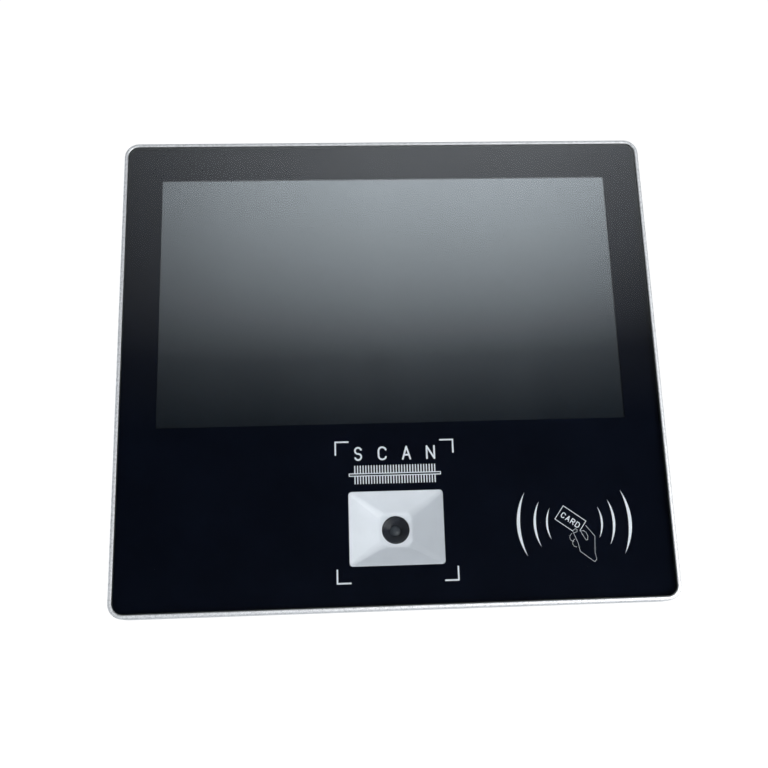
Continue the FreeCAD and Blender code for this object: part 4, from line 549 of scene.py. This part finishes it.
def make_floor():
    """A wide pale floor, well below the held terminal, with a painted glow that leaves a painted
    shade straight under it, and clear when it is seen from below."""
    form = bmesh.new()
    bmesh.ops.create_circle(form, cap_ends=True, segments=FLOOR_SIDES, radius=FLOOR_RADIUS)
    bmesh.ops.translate(form, verts=form.verts, vec=(0, 0, FLOOR_LEVEL))
    floor = finished(form, "studio_floor")
    material, tree, shader = new_finish("floor_paper", (0.9, 0.9, 0.9), 0.8,
                                        Specular_IOR_Level=0.1, Emission_Color=(1, 1, 1, 1))
    place = object_place(tree)
    cloud = noise(tree, place, 6, 3)
    tint = ramp(tree, cloud, [(0.3, grey(0.88)), (0.7, grey(0.92))])
    tree.links.new(tint, shader.inputs["Base Color"])
    # Painted glow: emission rises with distance from the middle, so the floor is darker straight
    # under the terminal, a painted shade.
    reach = add(tree, "ShaderNodeVectorMath", operation="LENGTH")
    tree.links.new(place, reach.inputs[0])
    tree.links.new(spread(tree, reach.outputs["Value"], *FLOOR_PAINTED_GLOW),
                   shader.inputs["Emission Strength"])
    see_through_from_below(tree, shader)
    floor.data.materials.append(material)


LAMP_PLACE = Vector((0.5, -0.64, -0.42))
LAMP_AIM = Vector((0, -0.03, -0.07))
LAMP_SIZE = (0.8, 0.5)
LAMP_POWER = 8.5


def make_lamp():
    """One broad panel, low and to the right of the camera."""
    data = bpy.data.lights.new("low_right_panel", "AREA")
    data.shape = "RECTANGLE"
    data.size, data.size_y = LAMP_SIZE
    data.energy = LAMP_POWER
    lamp = bpy.data.objects.new("low_right_panel", data)
    bpy.context.collection.objects.link(lamp)
    lamp.visible_camera = False
    turn = (LAMP_AIM - LAMP_PLACE).to_track_quat("-Z", "Y").to_matrix()
    lamp.matrix_world = Matrix.Translation(LAMP_PLACE) @ turn.to_4x4()


# ---------------------------------------------------------------- signs on the buttons

ACROSS, UP = 1, 2
MARK_PEN = 0.4 * MM
MARK_SUNK = 0.05 * MM
MARK_RISE = 0.1 * MM
MARK_ROUND = 0.45
MARK_ROUND_STEPS = 4
POWER_RING = 1.35 * MM
POWER_GAP = math.radians(80)
POWER_RING_STEPS = 40
POWER_DASH = 1.5 * MM
POWER_DASH_LIFT = 0.75
VOLUME_ARM = 2.8 * MM


def cap_face(body):
    """The middle of a button cap's outer face."""
    low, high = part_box(body)
    middle = (Vector(low) + Vector(high)) / 2
    return Vector((high[0], middle.y, middle.z))


def add_bar(form, centre, along, length):
    """A raised bar with rounded ends, on a face that looks to the right."""
    size = Vector((MARK_SUNK + MARK_RISE, MARK_PEN, MARK_PEN))
    size[along] = length
    place = centre + Vector(((MARK_RISE - MARK_SUNK) / 2, 0, 0))
    block = Matrix.Translation(place) @ Matrix.Diagonal(size).to_4x4()
    corners = set(bmesh.ops.create_cube(form, size=1, matrix=block)["verts"])
    ends = [edge for edge in form.edges if corners.issuperset(edge.verts)
            and abs((edge.verts[0].co - edge.verts[1].co).x) > MARK_RISE]
    bmesh.ops.bevel(form, geom=ends, offset=MARK_PEN * MARK_ROUND, offset_type="OFFSET",
                    segments=MARK_ROUND_STEPS, profile=0.5, affect="EDGES", material=-1)


def add_open_ring(form, centre):
    """A raised ring, open at the top, made by turning its square section."""
    made = bmesh.ops.create_grid(form, x_segments=1, y_segments=1, size=0.5)
    width = Matrix.Diagonal((MARK_SUNK + MARK_RISE, 1, MARK_PEN, 1))
    section = Matrix.Rotation(math.pi / 2, 4, "X")
    start = Matrix.Rotation(POWER_GAP / 2, 4, "X") @ Matrix.Translation((0, 0, POWER_RING))
    place = centre + Vector(((MARK_RISE - MARK_SUNK) / 2, 0, 0))
    bmesh.ops.transform(form, verts=made["verts"],
                        matrix=Matrix.Translation(place) @ start @ width @ section)
    bmesh.ops.spin(form, geom=form.faces[:], cent=centre, axis=(1, 0, 0), dvec=(0, 0, 0),
                   angle=2 * math.pi - POWER_GAP, steps=POWER_RING_STEPS, use_merge=False)
    bmesh.ops.holes_fill(form, edges=[edge for edge in form.edges if edge.is_boundary])


def button_mark(body, draw, finish):
    """A generic sign raised on a button's cap. It moves with the button."""
    form = bmesh.new()
    draw(form, cap_face(body))
    bmesh.ops.recalc_face_normals(form, faces=form.faces)
    mark = finished(form, body.replace("button", "mark"))
    mark.data.materials.append(finish)
    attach(mark, body)


def power_sign(form, centre):
    add_open_ring(form, centre)
    add_bar(form, centre + Vector((0, 0, POWER_RING * POWER_DASH_LIFT)), UP, POWER_DASH)


def minus_sign(form, centre):
    add_bar(form, centre, ACROSS, VOLUME_ARM)


def plus_sign(form, centre):
    minus_sign(form, centre)
    for side in (-1, 1):
        reach = (VOLUME_ARM - MARK_PEN) / 2
        middle = side * (MARK_PEN + reach) / 2
        add_bar(form, centre + Vector((0, 0, middle)), UP, reach)


def make_button_marks(finish):
    button_mark("power_button", power_sign, finish)
    button_mark("volume_up_button", plus_sign, finish)
    button_mark("volume_down_button", minus_sign, finish)


make_camera()
bpy.context.scene.view_settings.view_transform = "Standard"
finishes = dress_nodes()
make_button_marks(finishes["white_ink"])
make_world()
make_floor()
make_lamp()
